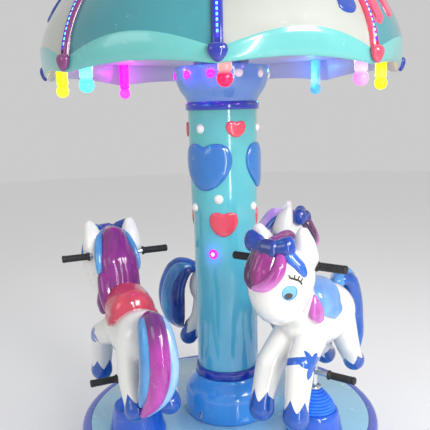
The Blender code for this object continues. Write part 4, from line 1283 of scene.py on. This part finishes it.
# Painted shade: navy for the tail locks that lie in shade
navyShadeHair = hairPaint("navyShadeHairPaint", "22409A", "182A66")
deepHair = hairPaint("deepBlueHairPaint", "1E46AC", "14307C")
royalHair = hairPaint("royalHairPaint", "2566C8", "1A4AA0")
skyHair = hairPaint("skyBlueHairPaint", "5AA0DC", "3A7CBC")
paleHair = hairPaint("paleBlueHairPaint", "A6CCF6", "78AEE8")
lavenderHair = hairPaint("lavenderHairPaint", "E0C4F6", "B888EC")
royalBow = hairPaint("royalBowPaint", "184AB4", "143488")
darkKnot = hairPaint("navyKnotPaint", "24409E", "1A2A6A")
lightRibbon = hairPaint("lightRibbonPaint", "3C78D8", "2458BC")
saddleCoral = hairPaint("coralSaddlePaint", "DC4860", "C43A54")
saddleBlue = hairPaint("lightBlueSaddlePaint", "78ACE8", "6094D8")
pedestalBlue = gelcoat("pedestalBluePaint", "1A5CD0", mottle=0.12, scuff=0.22)

# kind: (object, CAD nodes it stands for, material slot, its paint on the right, left and rear pony)
templates = {
    "ponyBody": (body, ["pony_body"], "pony_gelcoat", [whitePaint] * 3),
    "ponyMane": (mane, ["mane"], "purple_paint", [plumHair, plumHair, lavenderHair]),
    "maneBands": (bands, [], "light_blue_paint", [skyHair, skyHair, royalHair]),
    "maneDarkLock": (darkLock, [], "purple_paint", [None, plumHair, None]),
    "maneSideLock": (sideLock, [], "purple_paint", [sideHair, plumHair, sideHair]),
    "forelock": (forelock, [], "purple_paint", [forelockShadedHair] * 3),
    "forelockRolled": (rolledLock, [], "purple_paint", [rolledHair] * 3),
    # the forelock's right lock in dark plum is painted shade
    "forelockShaded": (shadedForelock, [], "purple_paint", [shadedPlumHair] * 3),
    "tailMiddle": (tails["middle"], ["tail"], "purple_paint", [skyHair, tailHair, royalHair]),
    "tailInner": (tails["inner"], [], "light_blue_paint", [royalHair, skyHair, navyShadeHair]),
    "tailOuter": (tails["outer"], [], "light_blue_paint", [paleHair, paleHair, skyHair]),
    "tailUnder": (tails["under"], [], "band_paint", [royalHair, navyShadeHair, deepHair]),
    "ponySaddle": (saddle, ["saddle"], "coral_paint", [saddleBlue, saddleCoral, saddleCoral]),
    "ponyBow": (bow, ["bow"], "band_paint", [royalBow] * 3),
    "bowKnot": (knot, [], "band_paint", [darkKnot] * 3),
    "bowRibbon": (ribbon, [], "band_paint", [lightRibbon] * 3),
    "handTube": (handTube, ["handlebar"], "rod_steel", [steel] * 3),
    "handGrips": (handGrips, [], "grip_rubber", [gripRubber] * 3),
    "postTube": (postTube, ["post"], "rod_steel", [steel] * 3),
    "footGrips": (footGrips, [], "grip_rubber", [gripRubber] * 3),
}
for item, *rest in templates.values():
    keep = item.data.attributes.new("ponyPlace", "FLOAT_VECTOR", "POINT")
    for vertex, value in zip(item.data.vertices, keep.data):
        value.vector = vertex.co
pedestalProfile = [
    (0.0135, 0.2503), (0.1225, 0.2503), (0.124, 0.2525), (0.1235, 0.258), (0.12, 0.268),
    (0.115, 0.285), (0.11, 0.308), (0.1055, 0.332), (0.102, 0.35), (0.1, 0.36), (0.097, 0.3665),
    (0.092, 0.3697), (0.0135, 0.3697), (0.0135, 0.2503)]
bootLook = {"folds": 8, "from": 0.3703, "firstFold": 0.3705, "to": 0.43, "bore": 0.016,
            "wide": 0.0865, "taper": 0.026, "base": 0.085, "neck": 0.031, "steps": 48,
            "fold": ((0.0045, 0.04), (0.001, 0.22), (0, 0.5), (0.0012, 0.78), (0.0055, 0.96))}
# The right pony's mane lies flatter to its neck: (narrower, further forward)
flatter = {"ponyMane_right": (0.74, 0.026), "maneBands_right": (0.7, 0.03)}


# The boot's profile: folds that narrow towards the collar, each through (inwards, share) points
def bootProfile(top):
    foot, bore = bootLook["from"], bootLook["bore"]
    points = [(bore, foot), (bootLook["base"], foot)]
    tall = (top - bootLook["firstFold"]) / bootLook["folds"]
    for fold in range(bootLook["folds"]):
        share = fold / (bootLook["folds"] - 1)
        wide = bootLook["wide"] - bootLook["taper"] * share - bootLook["taper"] * share * share
        low = bootLook["firstFold"] + fold * tall
        points += [(wide - inwards, low + tall * up) for inwards, up in bootLook["fold"]]
    return points + [(bootLook["neck"], top), (bore, top), (bore, foot)]


for number, (side, angle) in enumerate(posts["angles"].items()):
    turn = math.radians(angle)
    stand = Matrix.Translation((posts["ring"] * math.cos(turn), posts["ring"] * math.sin(turn), 0))
    stand = stand @ Matrix.Rotation(turn - math.pi / 2, 4, "Z")
    lifted = stand @ Matrix.Translation((0, 0, posts["lifts"][side]))
    for kind, (item, nodes, slot, paints) in templates.items():
        if paints[number] is None:
            continue
        takeUp(item)
        bpy.ops.object.duplicate(linked=False)
        copy = bpy.context.object
        narrow, forward = flatter.get(f"{kind}_{side}", (1, 0))
        flat = Matrix.Translation((forward, 0, 0)) @ Matrix.Diagonal((1, narrow, 1, 1))
        copy.matrix_world = lifted @ flat
        stoodFor = [f"{node}_{side}" for node in nodes]
        finishPiece(copy, f"{kind}_{side}", paints[number], stoodFor, slot, 60, "pony_" + side)
    pedestal = spinProfile(pedestalProfile, 64)
    pedestal.matrix_world = stand
    finishPiece(pedestal, "pedestalCone_" + side, pedestalBlue, ["pedestal_" + side],
                "band_paint")
    top = bootLook["to"] + posts["lifts"][side]
    bellows = spinProfile(bootProfile(top), bootLook["steps"])
    bellows.matrix_world = stand
    finishPiece(bellows, "boot_" + side, bootRubber, ["bellows_" + side], "bellows_rubber",
                body=None)
    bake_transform(bellows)
for item, *rest in templates.values():
    bpy.data.objects.remove(item, do_unlink=True)
print("ponies placed")


# Studio
studio = {"floor": "F8F8F9", "floorRoughness": 0.6, "floorRadius": 14, "world": "FFFFFF",
          "worldStrength": 0.6, "floorLevel": -0.0005, "glowSize": 0.01}
deselectAll()
bpy.ops.mesh.primitive_circle_add(vertices=96, radius=studio["floorRadius"], fill_type="NGON",
                                  location=(0, 0, studio["floorLevel"]))
floor = bpy.context.object
floor.name = "studioFloor"
floorPaint, floorTree, floorShader = newMaterial("paleStudioFloor")
setSockets(floorShader, {"Base Color": toLinear(studio["floor"]),
                         "Roughness": studio["floorRoughness"]})
floor.data.materials.append(floorPaint)
world = bpy.data.worlds.new("paleStudio")
world.use_nodes = True
setSockets(world.node_tree.nodes["Background"],
           {"Color": toLinear(studio["world"]), "Strength": studio["worldStrength"]})
bpy.context.scene.world = world
bpy.context.scene.view_settings.view_transform = "Standard"
lights = {
    "keyPanel": {"spot": (2.8, -2.9, 3.0), "aim": (0, 0, 1.1), "size": 1.3, "power": 98},
    "fillPanel": {"spot": (-3.0, -2.4, 2.4), "aim": (0, 0, 1.0), "size": 1.6, "power": 14},
    "topPanel": {"spot": (0, 0.6, 4.2), "aim": (0, 0, 1.0), "size": 2.4, "power": 20},
    "glintPanel": {"spot": (0.9, -2.9, 2.5), "aim": (0, 0, 1.0), "size": 0.3, "power": 16},
    "glossStrip": {"spot": (0.95, -2.6, 1.25), "aim": (0, 0, 1.05), "size": 0.16, "tall": 2.0,
                   "power": 16},
}


def addLight(kind, name, spot, power):
    deselectAll()
    bpy.ops.object.light_add(type=kind, location=spot)
    light = bpy.context.object
    light.name = name
    light.data.energy = power
    return light


for name, look in lights.items():
    light = addLight("AREA", name, look["spot"], look["power"])
    light.data.shape = "RECTANGLE"
    light.data.size = look["size"]
    light.data.size_y = look.get("tall", look["size"])
    aim = Vector(look["aim"]) - Vector(look["spot"])
    light.rotation_euler = aim.to_track_quat("-Z", "Y").to_euler()
# The glow that the small lamps throw on what is round them, as (azimuth, radius, height), colour
# and power
glows = {"columnGlow": ((-23.4, 0.16, 1.009), "C030FF", 0.1)}
for turn in (-46, -13.3):
    glows[f"capitalGlow{turn}"] = ((turn, 0.222, 1.759), "C030FF", 0.3)
for index, (name, (holder, *rest)) in enumerate(lampColours.items()):
    spot = (45 * index, lampLook["lightRing"], lampLook["lightHeight"])
    glows[name + "Glow"] = (spot, holder, lampLook["lightPower"])
for name, (spot, colour, power) in glows.items():
    light = addLight("POINT", name, around(*spot), power)
    light.data.color = toLinear(colour)[:3]
    light.data.shadow_soft_size = studio["glowSize"]
print("studio set")
